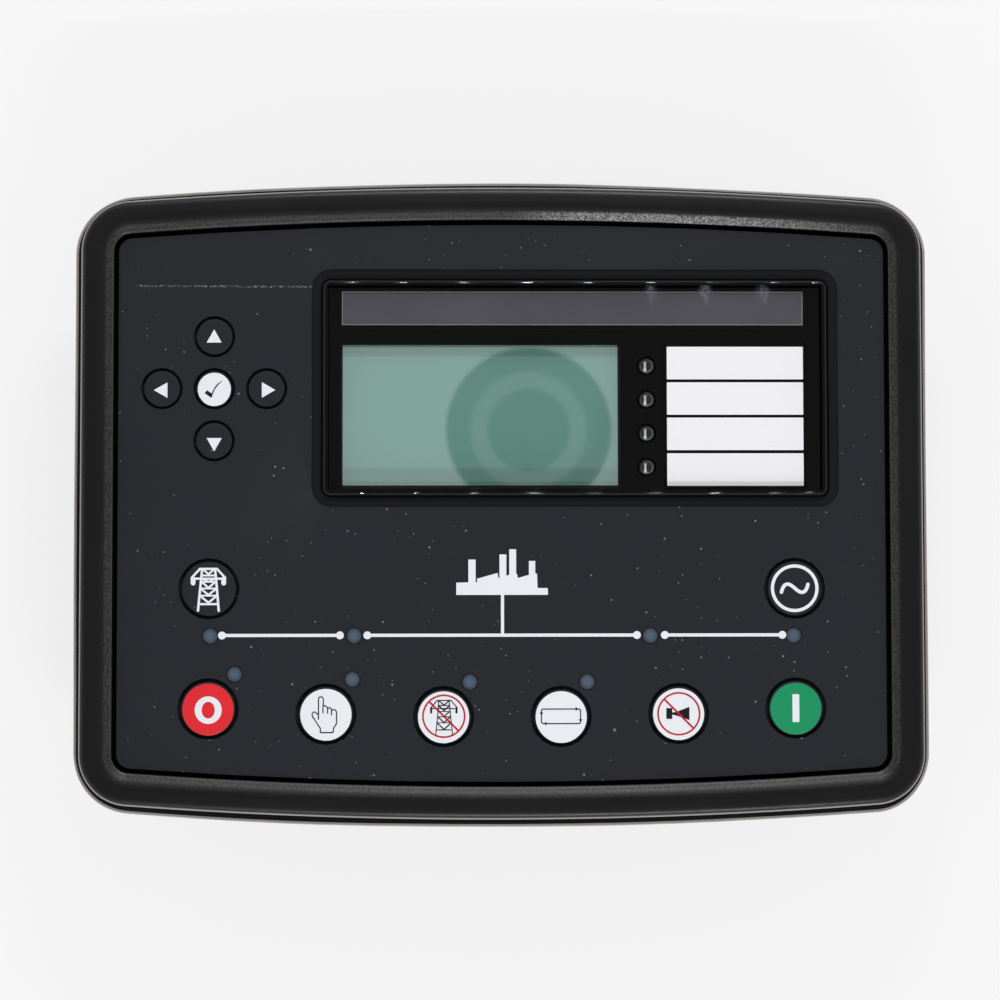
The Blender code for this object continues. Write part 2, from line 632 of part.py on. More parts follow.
def fascia():
    """Keypad fascia with a hole for each key and lamp, the lens window and its surround."""
    mesh = plate("fascia", face_outline(FACE_BAND + GROOVE), FASCIA_REAR, FASCIA_TOP)
    part = add_part("fascia", mesh, "fascia_grey")
    low = FASCIA_REAR - OVERCUT
    high = FASCIA_TOP + OVERCUT
    for name, hole in (("nav_holes", NAV_KEY_HOLE), ("key_holes", KEY_HOLE)):
        spots = [centre for _, centre, _, this_hole, _, _ in key_table() if this_hole == hole]
        reshape(part, "DIFFERENCE", rounds(name, hole, spots, low, high, ROUND_STEPS))
    spots = [centre for _, centre in lamp_table()]
    reshape(part, "DIFFERENCE", rounds("lamp_holes", LAMP_HOLE, spots, low, high, 16))
    reshape(part, "DIFFERENCE", plate("lens_window", lens_outline(FIT), low, high))
    floor = FASCIA_TOP - SURROUND_DEPTH
    recess = plate("lens_surround", lens_outline(SURROUND_MARGIN), floor, high)
    reshape(part, "DIFFERENCE", recess)


def gasket():
    """Soft ring between the frame and the panel, round the case."""
    outer = face_outline(-GASKET_OVERHANG)
    inner = plain_outline(CASE_WIDTH + 2 * FIT, CASE_HEIGHT + 2 * FIT, GASKET_CORNER)
    rings = [(outer, PANEL_SEAT), (outer, GASKET_TOP), (inner, GASKET_TOP), (inner, PANEL_SEAT)]
    add_part("panel_gasket", loft("panel_gasket", rings, closed=True), "silicone_grey")


def keys():
    """Thirteen keys, each with its origin on its own axis at the face."""
    for name, (x, y), radius, hole, _, finish in key_table():
        collar = hole + KEY_COLLAR
        under = SHELF_TOP - FASCIA_TOP
        rear = KEY_REAR - FASCIA_TOP
        profile = [
            (0, 0),
            (radius - KEY_EDGE, 0),
            (radius, -KEY_EDGE),
            (radius, under),
            (collar, under),
            (collar, rear),
            (0, rear),
        ]
        turned(name, profile, finish, (x, y, FASCIA_TOP))


def lamp_windows():
    """Eight clear light guides that end flush with the fascia."""
    under = SHELF_TOP - FASCIA_TOP
    profile = [
        (0, 0),
        (LAMP_RADIUS, 0),
        (LAMP_RADIUS, under),
        (LAMP_COLLAR_RADIUS, under),
        (LAMP_COLLAR_RADIUS, under - KEY_COLLAR_HEIGHT),
        (LAMP_RADIUS, under - KEY_COLLAR_HEIGHT),
        (LAMP_RADIUS, -LAMP_LENGTH),
        (0, -LAMP_LENGTH),
    ]
    for name, (x, y) in lamp_table():
        turned(name, profile, "lamp_blue_grey", (x, y, FASCIA_TOP), SMALL_ROUND_STEPS)


def lens_outline(growth):
    """Outline of the raised lens, grown outward on every side."""
    return outline(
        LENS_WIDTH + 2 * growth,
        LENS_HEIGHT + 2 * growth,
        LENS_CORNER + growth,
        centre=LENS_CENTRE,
        corner_steps=CORNER_STEPS,
    )


def display_lens():
    """Clear lens: a raised plate with rounded edges on a hollow body and a rear flange."""
    rings = [
        (lens_outline(-LENS_WALL), LENS_POCKET_ROOF),
        (lens_outline(-LENS_WALL), LENS_REAR),
        (lens_outline(LENS_FLANGE), LENS_REAR),
        (lens_outline(LENS_FLANGE), LENS_FLANGE_TOP),
        (lens_outline(0), LENS_FLANGE_TOP),
    ]
    for step in range(LENS_EDGE_STEPS + 1):
        angle = math.pi / 2 * step / LENS_EDGE_STEPS
        inset = LENS_EDGE * (1 - math.cos(angle))
        rings.append((lens_outline(-inset), LENS_TOP - LENS_EDGE * (1 - math.sin(angle))))
    add_part("display_lens", loft("display_lens", rings), "lens_clear")


def insert_cards():
    """Two bare cards behind the lens: the strip along its top and the alarm legend."""
    strip = (STRIP_CARD_WIDTH, STRIP_CARD_HEIGHT, STRIP_CARD_CENTRE, CARD_REAR, CARD_FRONT)
    add_part("strip_card", boxes("strip_card", [strip]), "card_grey")
    legend = (ALARM_CARD_WIDTH, ALARM_CARD_HEIGHT, ALARM_CARD_CENTRE, CARD_REAR, CARD_FRONT)
    add_part("alarm_card", boxes("alarm_card", [legend]), "card_white")


def display_carrier():
    """Black plate in the lens that backs the cards and frames the display and the lamps."""
    points = lens_outline(-LENS_WALL - FIT)
    mesh = plate("display_carrier", points, CARRIER_REAR, CARRIER_FRONT)
    part = add_part("display_carrier", mesh, "carrier_black")
    low = CARRIER_REAR - OVERCUT
    high = CARRIER_FRONT + OVERCUT
    width = LCD_VIEW_WIDTH + 2 * LCD_VIEW_MARGIN
    height = LCD_VIEW_HEIGHT + 2 * LCD_VIEW_MARGIN
    reshape(part, "DIFFERENCE", boxes("lcd_window", [(width, height, LCD_CENTRE, low, high)]))
    hole = ALARM_LED_RADIUS + FIT
    reshape(part, "DIFFERENCE", rounds("led_holes", hole, alarm_led_places(), low, high, 16))


def liquid_crystal():
    """Display glass, and the light guide that stands behind it on the front board."""
    size = (LCD_GLASS_WIDTH, LCD_GLASS_HEIGHT, LCD_CENTRE)
    add_part("lcd_glass", boxes("lcd_glass", [(*size, GLASS_REAR, GLASS_FRONT)]), "lcd_green")
    guide = boxes("lcd_backlight", [(*size, FRONT_BOARD_TOP + FIT, GLASS_REAR - FIT)])
    add_part("lcd_backlight", guide, "backlight_white")


def alarm_leds():
    """Four clear domed lamps that stand on the front board behind the lens."""
    foot = FRONT_BOARD_TOP + FIT
    tip = LENS_POCKET_ROOF - FIT - foot
    profile = []
    for step in range(5):
        angle = math.pi / 2 * step / 4
        radius = ALARM_LED_RADIUS * math.sin(angle)
        profile.append((radius, tip - ALARM_LED_RADIUS * (1 - math.cos(angle))))
    rim = ALARM_LED_RADIUS + ALARM_LED_FLANGE
    profile += [(ALARM_LED_RADIUS, 1.0 * MM), (rim, 1.0 * MM), (rim, 0), (0, 0)]
    for index, (x, y) in enumerate(alarm_led_places(), start=1):
        turned(f"alarm_led_{index}", profile, "led_clear", (x, y, foot), 16)


def front_board_outline(inset=0.0):
    """Outline of the front board: cut corners, and a notch at each middle screw post."""
    across = FRONT_BOARD_WIDTH / 2 - inset
    up = FRONT_BOARD_HEIGHT / 2 - inset
    cut = FRONT_BOARD_CHAMFER
    half_notch = POST_RADIUS + FRONT_BOARD_NOTCH_GAP + inset
    notch_y = CASE_HEIGHT / 2 - MIDDLE_POST_FROM_END - half_notch
    upper = [
        (across, up - cut),
        (across - cut, up),
        (half_notch, up),
        (half_notch, notch_y),
        (-half_notch, notch_y),
        (-half_notch, up),
        (cut - across, up),
        (-across, up - cut),
    ]
    return upper + [(-x, -y) for x, y in upper]


def key_mat():
    """Silicone sheet with a pressed dome under each key and a window for the display."""
    mesh = plate("key_mat", front_board_outline(MAT_INSET), MAT_REAR, MAT_TOP)
    mat = add_part("key_mat", mesh, "silicone_grey")
    low = MAT_REAR - OVERCUT
    high = MAT_TOP + OVERCUT
    left = LCD_CENTRE[0] - LCD_GLASS_WIDTH / 2 - MAT_WINDOW_MARGIN
    right = ALARM_LED_X + ALARM_LED_RADIUS + ALARM_LED_FLANGE + MAT_WINDOW_MARGIN
    height = LCD_GLASS_HEIGHT + 2 * MAT_WINDOW_MARGIN
    window = (right - left, height, ((left + right) / 2, LCD_CENTRE[1]), low, high)
    reshape(mat, "DIFFERENCE", boxes("mat_window", [window]))
    spots = [centre for _, centre in lamp_table()]
    reshape(mat, "DIFFERENCE", rounds("mat_lamp_holes", INDICATOR_HOLE, spots, low, high))
    foot = MAT_REAR + MAT_THICKNESS / 2
    for name, size in (("nav_domes", NAV_DOME_RADIUS), ("key_domes", DOME_RADIUS)):
        spots = [centre for _, centre, _, _, this_size, _ in key_table() if this_size == size]
        domes = rounds(name, size, spots, foot, DOME_TOP, taper=DOME_TAPER)
        reshape(mat, "UNION", domes)


def front_board():
    """Board behind the keys, with a small lamp soldered on it under each lamp window."""
    mesh = plate("display_board", front_board_outline(), FRONT_BOARD_LEVEL, FRONT_BOARD_TOP)
    board = add_part("display_board", mesh, "board_green")
    width, depth, _ = INDICATOR_SIZE
    root = FRONT_BOARD_TOP - OVERCUT
    chips = [(width, depth, spot, root, INDICATOR_TOP) for _, spot in lamp_table()]
    reshape(board, "UNION", boxes("indicator_leds", chips))


def main_board():
    """Main board with its soldered components; the tall ones hang in the deep block."""
    size = (MAIN_BOARD_WIDTH, MAIN_BOARD_HEIGHT, (0, 0), MAIN_BOARD_LEVEL, MAIN_BOARD_TOP)
    board = add_part("main_board", boxes("main_board", [size]), "board_green")
    low = MAIN_BOARD_LEVEL - OVERCUT
    high = MAIN_BOARD_TOP + OVERCUT
    spots = board_screw_points()
    reshape(board, "DIFFERENCE", rounds("board_holes", SCREW_HOLE, spots, low, high))
    root = MAIN_BOARD_LEVEL + OVERCUT
    low = CASE_WALL + COMPONENT_GAP
    chips = [(*RELAY_SIZE, centre, low, root) for centre in RELAY_CENTRES]
    width, depth, height = PROCESSOR_SIZE
    top = MAIN_BOARD_TOP + height
    chips.append((width, depth, PROCESSOR_CENTRE, MAIN_BOARD_TOP - OVERCUT, top))
    reshape(board, "UNION", boxes("relays_and_processor", chips))
    cans = rounds("capacitors", CAPACITOR_RADIUS, CAPACITOR_CENTRES, low, root, 16)
    reshape(board, "UNION", cans)


def between_boards():
    """Hexagonal spacers and the plug-in link between the two boards."""
    bottom = MAIN_BOARD_TOP + FIT
    length = FRONT_BOARD_LEVEL - FIT - bottom
    profile = [(0, length), (SPACER_RADIUS, length), (SPACER_RADIUS, 0), (0, 0)]
    across = MAIN_BOARD_WIDTH / 2 - SPACER_INSET[0]
    up = MAIN_BOARD_HEIGHT / 2 - SPACER_INSET[1]
    for index, (x, y) in enumerate(four_corners((across, up)), start=1):
        turned(f"board_spacer_{index}", profile, "zinc_steel", (x, y, bottom), 6)
    link = boxes("board_link", [(*LINK_SIZE, LINK_CENTRE, bottom, bottom + length)])
    add_part("board_link", link, "chip_black")


def header_width(ways):
    """Outer length of a terminal header."""
    return ways * WAY_PITCH + 2 * HEADER_WALL


def header_table():
    """Name, ways and centre of each terminal header, both rows centred on the case."""
    table = []
    clear_of_posts = MIDDLE_POST_FROM_END + POST_RADIUS + HEADER_POST_GAP
    row_y = CASE_HEIGHT / 2 - clear_of_posts - HEADER_DEPTH / 2
    socket = HEADER_GAP + USB_WIDTH
    rows = ((row_y, UPPER_SHARES, UPPER_MARGIN, 0), (-row_y, LOWER_SHARES, LOWER_MARGIN, socket))
    for y, shares, margin, extra in rows:
        fixed = extra + HEADER_GAP * (len(shares) - 1)
        room = CASE_WIDTH - 2 * margin - fixed - 2 * HEADER_WALL * len(shares)
        counts = [round(int(room / WAY_PITCH) * share) for share in shares.values()]
        start = -(sum(header_width(ways) for ways in counts) + fixed) / 2
        for name, ways in zip(shares, counts):
            table.append((name, ways, (start + header_width(ways) / 2, y)))
            start += header_width(ways) + HEADER_GAP
    return table


def usb_centre():
    """Centre of the USB socket, to the right of the lower headers."""
    _, ways, (x, y) = header_table()[-1]
    return (x + header_width(ways) / 2 + HEADER_GAP + USB_WIDTH / 2, y)


def open_box(name, size, wall, centre, rim, cavity, finish):
    """Box that hangs below the main board and is hollow from its rim up."""
    width, depth = size
    box = add_part(name, boxes(name, [(width, depth, centre, rim, UNDER_BOARD)]), finish)
    inside = (width - 2 * wall, depth - 2 * wall, centre, rim - OVERCUT, rim + cavity)
    reshape(box, "DIFFERENCE", boxes(name + "_cavity", [inside]))
    return box


def terminals():
    """Open headers that reach out through the ledges, each with its row of pins."""
    rim = UNDER_BOARD - HEADER_REACH
    floor = rim + HEADER_CAVITY
    for letter, ways, (x, y) in header_table():
        name = f"terminal_header_{letter}"
        size = (header_width(ways), HEADER_DEPTH)
        header = open_box(name, size, HEADER_WALL, (x, y), rim, HEADER_CAVITY, "header_green")
        pins = []
        for way in range(ways):
            centre = (x + (way - (ways - 1) / 2) * WAY_PITCH, y + PIN_OFFSET)
            pins.append((PIN_SIZE, PIN_SIZE, centre, floor - PIN_LENGTH, floor + OVERCUT))
        reshape(header, "UNION", boxes(name + "_pins", pins))


def usb_socket():
    """Square metal socket with a tongue inside."""
    rim = UNDER_BOARD - USB_REACH
    floor = rim + USB_CAVITY
    centre = usb_centre()
    size = (USB_WIDTH, USB_DEPTH)
    socket = open_box("usb_socket", size, USB_WALL, centre, rim, USB_CAVITY, "zinc_steel")
    width, depth, length = USB_TONGUE
    tongue = (width, depth, centre, floor - length, floor + OVERCUT)
    reshape(socket, "UNION", boxes("usb_tongue", [tongue]))


def rear_case():
    """Moulded tub: deep block, ledges with openings, posts for the screws, and slots."""

    def case_outline(width, height, corner, inset):
        return outline(width - 2 * inset, height - 2 * inset, max(corner - inset, 0.4 * MM))

    def block(inset):
        return case_outline(BLOCK_WIDTH, BLOCK_HEIGHT, BLOCK_CORNER, inset)

    def body(inset):
        return case_outline(CASE_WIDTH, CASE_HEIGHT, CASE_CORNER, inset)

    rings = [
        (block(CASE_WALL), CASE_WALL),
        (block(CASE_WALL), LEDGE_FLOOR),
        (body(CASE_WALL), LEDGE_FLOOR),
        (body(CASE_WALL), CASE_RIM),
        (body(0), CASE_RIM),
        (body(0), LEDGE_RISE + CASE_CHAMFER),
        (body(CASE_CHAMFER), LEDGE_RISE),
        (block(0), LEDGE_RISE),
        (block(0), CASE_CHAMFER),
        (block(CASE_CHAMFER), 0),
    ]
    case = add_part("rear_case", loft("rear_case", rings), "case_black")
    spots = screw_points()
    board_spots = board_screw_points()
    foot = LEDGE_RISE + OVERCUT
    reshape(case, "UNION", rounds("case_posts", POST_RADIUS, spots, foot, POST_TOP, 16))
    foot = CASE_WALL / 2
    posts = rounds("board_posts", BOARD_POST_RADIUS, board_spots, foot, UNDER_BOARD, 16)
    reshape(case, "UNION", posts)

    seat = LEDGE_RISE + COUNTERBORE_DEPTH
    wide = SCREW_HEAD_RADIUS + FIT
    low = LEDGE_RISE - OVERCUT
    reshape(case, "DIFFERENCE", rounds("case_counterbores", wide, spots, low, seat, 16))
    high = POST_TOP + OVERCUT
    holes = rounds("case_screw_holes", SCREW_HOLE, spots, seat - OVERCUT, high)
    reshape(case, "DIFFERENCE", holes)
    bite = UNDER_BOARD - BOARD_SCREW_BITE - FIT
    high = UNDER_BOARD + OVERCUT
    reshape(case, "DIFFERENCE", rounds("board_post_holes", SCREW_HOLE, board_spots, bite, high))

    room = 2 * HEADER_CLEARANCE
    high = LEDGE_FLOOR + OVERCUT
    cuts = [
        (header_width(ways) + room, HEADER_DEPTH + room, centre, low, high)
        for _, ways, centre in header_table()
    ]
    cuts.append((USB_WIDTH + room, USB_DEPTH + room, usb_centre(), low, high))
    width = BLOCK_WIDTH - 2 * LABEL_SIDE
    height = BLOCK_HEIGHT - 2 * LABEL_END
    cuts.append((width, height, (0, 0), -OVERCUT, LABEL_DEPTH))
    reshape(case, "DIFFERENCE", boxes("case_openings", cuts))

    cuts = []
    through = CASE_WALL + 2 * OVERCUT
    vent_top = VENT_LEVEL + VENT_LENGTH
    clip_width, clip_height = CLIP_SLOT_SIZE
    clip_top = CLIP_SLOT_LEVEL + clip_height
    for side in (-1, 1):
        wall_y = side * (CASE_HEIGHT - CASE_WALL) / 2
        for group in (-1, 1):
            for index in range(VENT_COUNT):
                x = group * VENT_GROUP_X + (index - (VENT_COUNT - 1) / 2) * VENT_PITCH
                cuts.append((VENT_WIDTH, through, (x, wall_y), VENT_LEVEL, vent_top))
            spot = (group * (CASE_WIDTH / 2 - CLIP_SLOT_FROM_SIDE), wall_y)
            cuts.append((clip_width, through, spot, CLIP_SLOT_LEVEL, clip_top))
    reshape(case, "DIFFERENCE", boxes("case_slots", cuts))


def fasteners():
    """Case screws, driven from behind, and board screws, driven from the front."""
    seat = LEDGE_RISE + COUNTERBORE_DEPTH - FIT
    reach = SHELF_TOP - BOSS_ROOF - FIT - seat
    profile = [
        (0, reach),
        (SCREW_RADIUS, reach),
        (SCREW_RADIUS, 0),
        (SCREW_HEAD_RADIUS, 0),
        (SCREW_HEAD_RADIUS, -SCREW_HEAD_HEIGHT),
        (0, -SCREW_HEAD_HEIGHT),
    ]
    for index, (x, y) in enumerate(screw_points(), start=1):
        place = (x, y, seat)
        turned(f"case_screw_{index}", profile, "zinc_steel", place, SMALL_ROUND_STEPS)
    seat = MAIN_BOARD_TOP + FIT
    reach = seat - UNDER_BOARD + BOARD_SCREW_BITE
    profile = [
        (0, SCREW_HEAD_HEIGHT),
        (SCREW_HEAD_RADIUS, SCREW_HEAD_HEIGHT),
        (SCREW_HEAD_RADIUS, 0),
        (SCREW_RADIUS, 0),
        (SCREW_RADIUS, -reach),
        (0, -reach),
    ]
    for index, (x, y) in enumerate(board_screw_points(), start=1):
        place = (x, y, seat)
        turned(f"board_screw_{index}", profile, "zinc_steel", place, SMALL_ROUND_STEPS)


front_frame()
fascia()
gasket()
keys()
lamp_windows()
display_lens()
insert_cards()
display_carrier()
liquid_crystal()
alarm_leds()
key_mat()
front_board()
main_board()
between_boards()
terminals()
usb_socket()
rear_case()
fasteners()
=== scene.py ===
# %% [markdown]
# The looks of a genset controller, built around its CAD frame. The real object is a black
# moulded case that sits in a panel door, with a rubber seal behind its frame, a charcoal face
# with round keys and indicator lamps, and a clear lens over a green liquid crystal display.
#
# The frame holds every part at its true place and size. Each new surface is worked out in
# millimetres, turned into metres, and rides on a part of the frame.

# %% The frame, and the box that the looks have to stay in
import itertools
import math
import bmesh
import bpy
import numpy as np
from mathutils import Matrix, Vector


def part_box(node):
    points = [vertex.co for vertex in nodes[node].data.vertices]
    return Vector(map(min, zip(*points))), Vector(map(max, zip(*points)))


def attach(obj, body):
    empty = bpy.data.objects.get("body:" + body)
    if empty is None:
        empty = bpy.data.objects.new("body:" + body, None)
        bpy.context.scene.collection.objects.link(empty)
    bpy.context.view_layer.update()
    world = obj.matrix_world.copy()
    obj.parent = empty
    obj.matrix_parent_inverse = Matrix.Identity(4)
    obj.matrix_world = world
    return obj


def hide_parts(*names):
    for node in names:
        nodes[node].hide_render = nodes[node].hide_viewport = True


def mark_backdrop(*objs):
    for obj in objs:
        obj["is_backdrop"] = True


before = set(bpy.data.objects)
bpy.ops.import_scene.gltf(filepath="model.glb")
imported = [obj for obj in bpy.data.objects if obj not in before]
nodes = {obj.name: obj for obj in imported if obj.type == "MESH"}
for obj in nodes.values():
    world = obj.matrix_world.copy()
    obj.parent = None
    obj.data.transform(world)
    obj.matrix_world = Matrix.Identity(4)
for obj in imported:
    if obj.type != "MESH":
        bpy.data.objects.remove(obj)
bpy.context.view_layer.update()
MM = 0.001

# %% [markdown]
# The camera comes first, because it decides how much detail is worth modelling. A photograph
# of an object lying on a table is taken from a little way off the vertical, so that its lower
# edge looks slightly wider than its upper one. A long lens from 0.83 m gives that mild
# perspective. The rotation is built from three axes, because that states the roll exactly.

# %% Camera
PHOTO_SIDE = 1000
FOCAL_PIXELS = 2900.4
CAMERA_PLACE = Vector((-13.6, -47.2, 878.9)) * MM
CAMERA_AIM = Vector((-0.62, 0.50, 48.9)) * MM
CAMERA_ROLL = math.radians(-0.079)


def aim_camera(place, aim, roll):
    """Returns a camera at place that looks at aim, with world +Y up and then turned by roll."""
    back = (place - aim).normalized()
    right = Vector((0, 1, 0)).cross(back).normalized()
    up = back.cross(right)
    right, up = (math.cos(roll) * right + math.sin(roll) * up,
                 math.cos(roll) * up - math.sin(roll) * right)
    data = bpy.data.cameras.new("taking_camera")
    data.sensor_width = 36
    data.lens = FOCAL_PIXELS / PHOTO_SIDE * data.sensor_width
    data.clip_start, data.clip_end = 0.01, 20
    camera = bpy.data.objects.new("taking_camera", data)
    camera.matrix_world = Matrix((right, up, back)).transposed().to_4x4()
    camera.matrix_world.translation = place
    bpy.context.scene.collection.objects.link(camera)
    return camera


bpy.context.scene.camera = aim_camera(CAMERA_PLACE, CAMERA_AIM, CAMERA_ROLL)
bpy.context.scene.view_settings.view_transform = "Standard"
print("camera lens", round(bpy.context.scene.camera.data.lens, 1), "mm")

# %% [markdown]
# Shader maths reads best as ordinary arithmetic. A Wire wraps one output of a node and
# overloads the operators, so that 1 - mask or wave * 0.5 adds the Math node that it names. A
# Finish is a material that is being built. Its node method adds any node from its type, its
# settings and the values of its sockets, so a whole material is a few short lines.

# %% A wire and a finish
class Wire:
    """One output socket. Arithmetic on it, with a number or another wire, adds a Math node."""

    def __init__(self, finish, socket):
        self.finish, self.socket = finish, socket

    def maths(self, operation, first, second=0.0, third=0.0):
        return self.finish.node("ShaderNodeMath", {"operation": operation},
                                {0: first, 1: second, 2: third})

    def smooth(self, low, high):
        """0 below low and 1 above high, with a smooth step between them."""
        return self.finish.node("ShaderNodeMapRange", {"interpolation_type": "SMOOTHSTEP"},
                                {"Value": self, "From Min": low, "From Max": high})


OPERATIONS = {"__add__": "ADD", "__radd__": "ADD", "__sub__": "SUBTRACT", "__mul__": "MULTIPLY",
              "__rmul__": "MULTIPLY", "__truediv__": "DIVIDE", "__gt__": "GREATER_THAN",
              "__lt__": "LESS_THAN", "size": "ABSOLUTE", "root": "SQRT", "smaller": "MINIMUM",
              "larger": "MAXIMUM"}
for method, operation in OPERATIONS.items():
    setattr(Wire, method, lambda self, other=0.0, name=operation: self.maths(name, self, other))
Wire.__rsub__ = lambda self, other: self.maths("SUBTRACT", other, self)


class Finish:
    """A material, world or lamp under construction, with one method for every kind of node."""

    def __init__(self, name, kind="Material", *more):
        shelf = {"Material": bpy.data.materials, "World": bpy.data.worlds, "Light": bpy.data.lights}
        self.made = shelf[kind].new(name, *more)
        self.made.use_nodes = True
        self.tree = self.made.node_tree
        self.tree.nodes.clear()
        self.out = self.tree.nodes.new("ShaderNodeOutput" + kind)

    def put(self, socket, value):
        """Links a wire to a socket, or sets the socket to a number or a colour."""
        if isinstance(value, Wire):
            self.tree.links.new(value.socket, socket)
        elif isinstance(value, tuple) and len(socket.default_value) == 4:
            socket.default_value = (*value, 1)[:4]
        else:
            socket.default_value = value

    def node(self, kind, settings=None, sockets=None, output=0):
        """Adds a node: its settings first, then a value or a wire for each named socket."""
        made = self.tree.nodes.new(kind)
        for name, value in (settings or {}).items():
            setattr(made, name, value)
        for name, value in (sockets or {}).items():
            self.put(made.inputs[name], value)
        return Wire(self, made.outputs[output])

    def parts(self, wire):
        """The three parts of a vector or a colour."""
        node = self.node("ShaderNodeSeparateXYZ", {}, {0: wire}).socket.node
        return [Wire(self, node.outputs[axis]) for axis in range(3)]

    def spot(self):
        """The Object coordinates, in metres."""
        return self.node("ShaderNodeTexCoord", output="Object")

    def place(self):
        """The three Object coordinates as wires, in millimetres."""
        return [part * 1000.0 for part in self.parts(self.spot())]

    def attribute(self, name):
        return self.node("ShaderNodeAttribute", {"attribute_name": name}, output="Fac")

    def noise(self, grain, detail=2.0, rough=0.5):
        """Fractal noise whose blobs are grain millimetres across, on Object coordinates."""
        return self.node("ShaderNodeTexNoise", {}, {"Vector": self.spot(), "Scale": 1000.0 / grain,
                                                    "Detail": detail, "Roughness": rough})

    def blend(self, factor, first, second):
        """A colour that goes from first to second with factor, through a Mix node."""
        made = self.tree.nodes.new("ShaderNodeMix")
        made.data_type = "RGBA"
        for number, value in ((0, factor), (6, first), (7, second)):
            self.put(made.inputs[number], value)
        return Wire(self, made.outputs[2])

    def mix(self, factor, first, second):
        """A shader that goes from first to second with factor."""
        return self.node("ShaderNodeMixShader", {}, {0: factor, 1: first, 2: second})

    def facing(self):
        """0 where the surface faces the eye, and 1 at its silhouette."""
        return self.node("ShaderNodeLayerWeight", {}, {"Blend": 0.5}, output="Facing")

    def bump(self, height, depth):
        """Bends the normal by a height wire that spans depth millimetres."""
        return self.node("ShaderNodeBump", {}, {"Height": height, "Distance": depth * MM})

    def body(self, **sockets):
        """The Principled shader, with socket names written with _ for a space."""
        named = {name.replace("_", " "): value for name, value in sockets.items()}
        return self.node("ShaderNodeBsdfPrincipled", {}, named)

    def show(self, shader):
        self.tree.links.new(shader.socket, self.out.inputs["Surface"])
        return self.made

    def done(self, **sockets):
        """Shows one Principled shader and returns the finished material."""
        return self.show(self.body(**sockets))


def seen(red, green, blue):
    """The linear colour of an 8-bit screen colour."""
    return tuple((c / 255 / 12.92) if c / 255 <= 0.04045 else ((c / 255 + 0.055) / 1.055) ** 2.4
                 for c in (red, green, blue))


print("charcoal in linear light:", [round(c, 4) for c in seen(43, 44, 48)])

# %% [markdown]
# Light is kept plain. In a white light tent the walls are bright, while the roof above a glossy
# face is dim, because the camera looks in through it. The world here does the same: it is dim
# round the zenith and bright lower down, so flat gloss looks black and every rounded edge
# catches a soft line of light. The camera sees the tent as plain white instead.

# %% The world
TENT_WALL = 1.17
TENT_ROOF = 0.28
TAKING_LENS = Vector((0.0255, 0.0815, 0.997)).normalized()
LENS_RINGS = ((1.68, 1.58, -0.82), (1.22, 1.08, 0.26), (0.86, 0.76, -0.3))


def off_axis(degrees):
    """The cosine of an angle off an axis, which is what a dot product with the axis gives."""
    return math.cos(math.radians(degrees))


def light_tent():
    """World radiance: the dim roof gives way to the bright wall from 34 to 66 degrees off zenith.

    The barrel, rim and glass of the taking lens dim or lift the roof, each by its share.
    """
    kit = Finish("light_tent", "World")
    way = kit.node("ShaderNodeTexCoord", output="Generated")
    roof = kit.parts(way)[2].smooth(off_axis(66), off_axis(34))
    towards = kit.node("ShaderNodeVectorMath", {"operation": "DOT_PRODUCT"},
                       {0: way, 1: TAKING_LENS}, output="Value")
    dim = 1.0
    for outer, inner, share in LENS_RINGS:
        dim = dim + share * towards.smooth(off_axis(outer), off_axis(inner))
    level = roof * dim * TENT_ROOF + (1 - roof) * TENT_WALL
    tent = kit.node("ShaderNodeBackground", {}, {"Color": (1, 1, 1), "Strength": level})
    plain = kit.node("ShaderNodeBackground", {}, {"Color": seen(239, 239, 241), "Strength": 1.0})
    camera_ray = kit.node("ShaderNodeLightPath", output="Is Camera Ray")
    bpy.context.scene.world = kit.show(kit.mix(camera_ray, tent, plain))


light_tent()
print("world: wall", TENT_WALL, "roof", TENT_ROOF)

# %% [markdown]
# The light tent's lamps are two rows of small bulbs, above and below the controller. They give
# about half of the light, and each rounded edge of the lens answers them with a string of small
# glints. A ray that comes off gloss sees a bulb far brighter than any other ray does, so that
# the glints are strong while the shadows stay soft.

# %% Two rows of small bulbs, and the floor
BULB_PITCH = 32.0
BULB_COUNT = 9
BULB_RADIUS = 2.2
BULB_ROWS = ((520.0, 530.0, 56.0, 0.62), (-520.0, 530.0, 61.0, 0.59))
GLINT = 30.0


def bulb_row(along, height, shift, power):
    """Point lights at x = shift + pitch * (i - middle), all at y = along and z = height.

    Their strength is 1 + GLINT for a ray that comes off gloss, and 1 for every other ray.
    """
    for index in range(BULB_COUNT):
        kit = Finish("bulb", "Light", "POINT")
        gloss_ray = kit.node("ShaderNodeLightPath", output="Is Glossy Ray")
        data = kit.show(kit.node("ShaderNodeEmission", {}, {"Strength": 1 + GLINT * gloss_ray}))
        data.energy, data.shadow_soft_size = power, BULB_RADIUS * MM
        bulb = bpy.data.objects.new("bulb", data)
        x = shift + BULB_PITCH * (index - (BULB_COUNT - 1) / 2)
        bulb.location = (x * MM, along * MM, height * MM)
        bpy.context.scene.collection.objects.link(bulb)


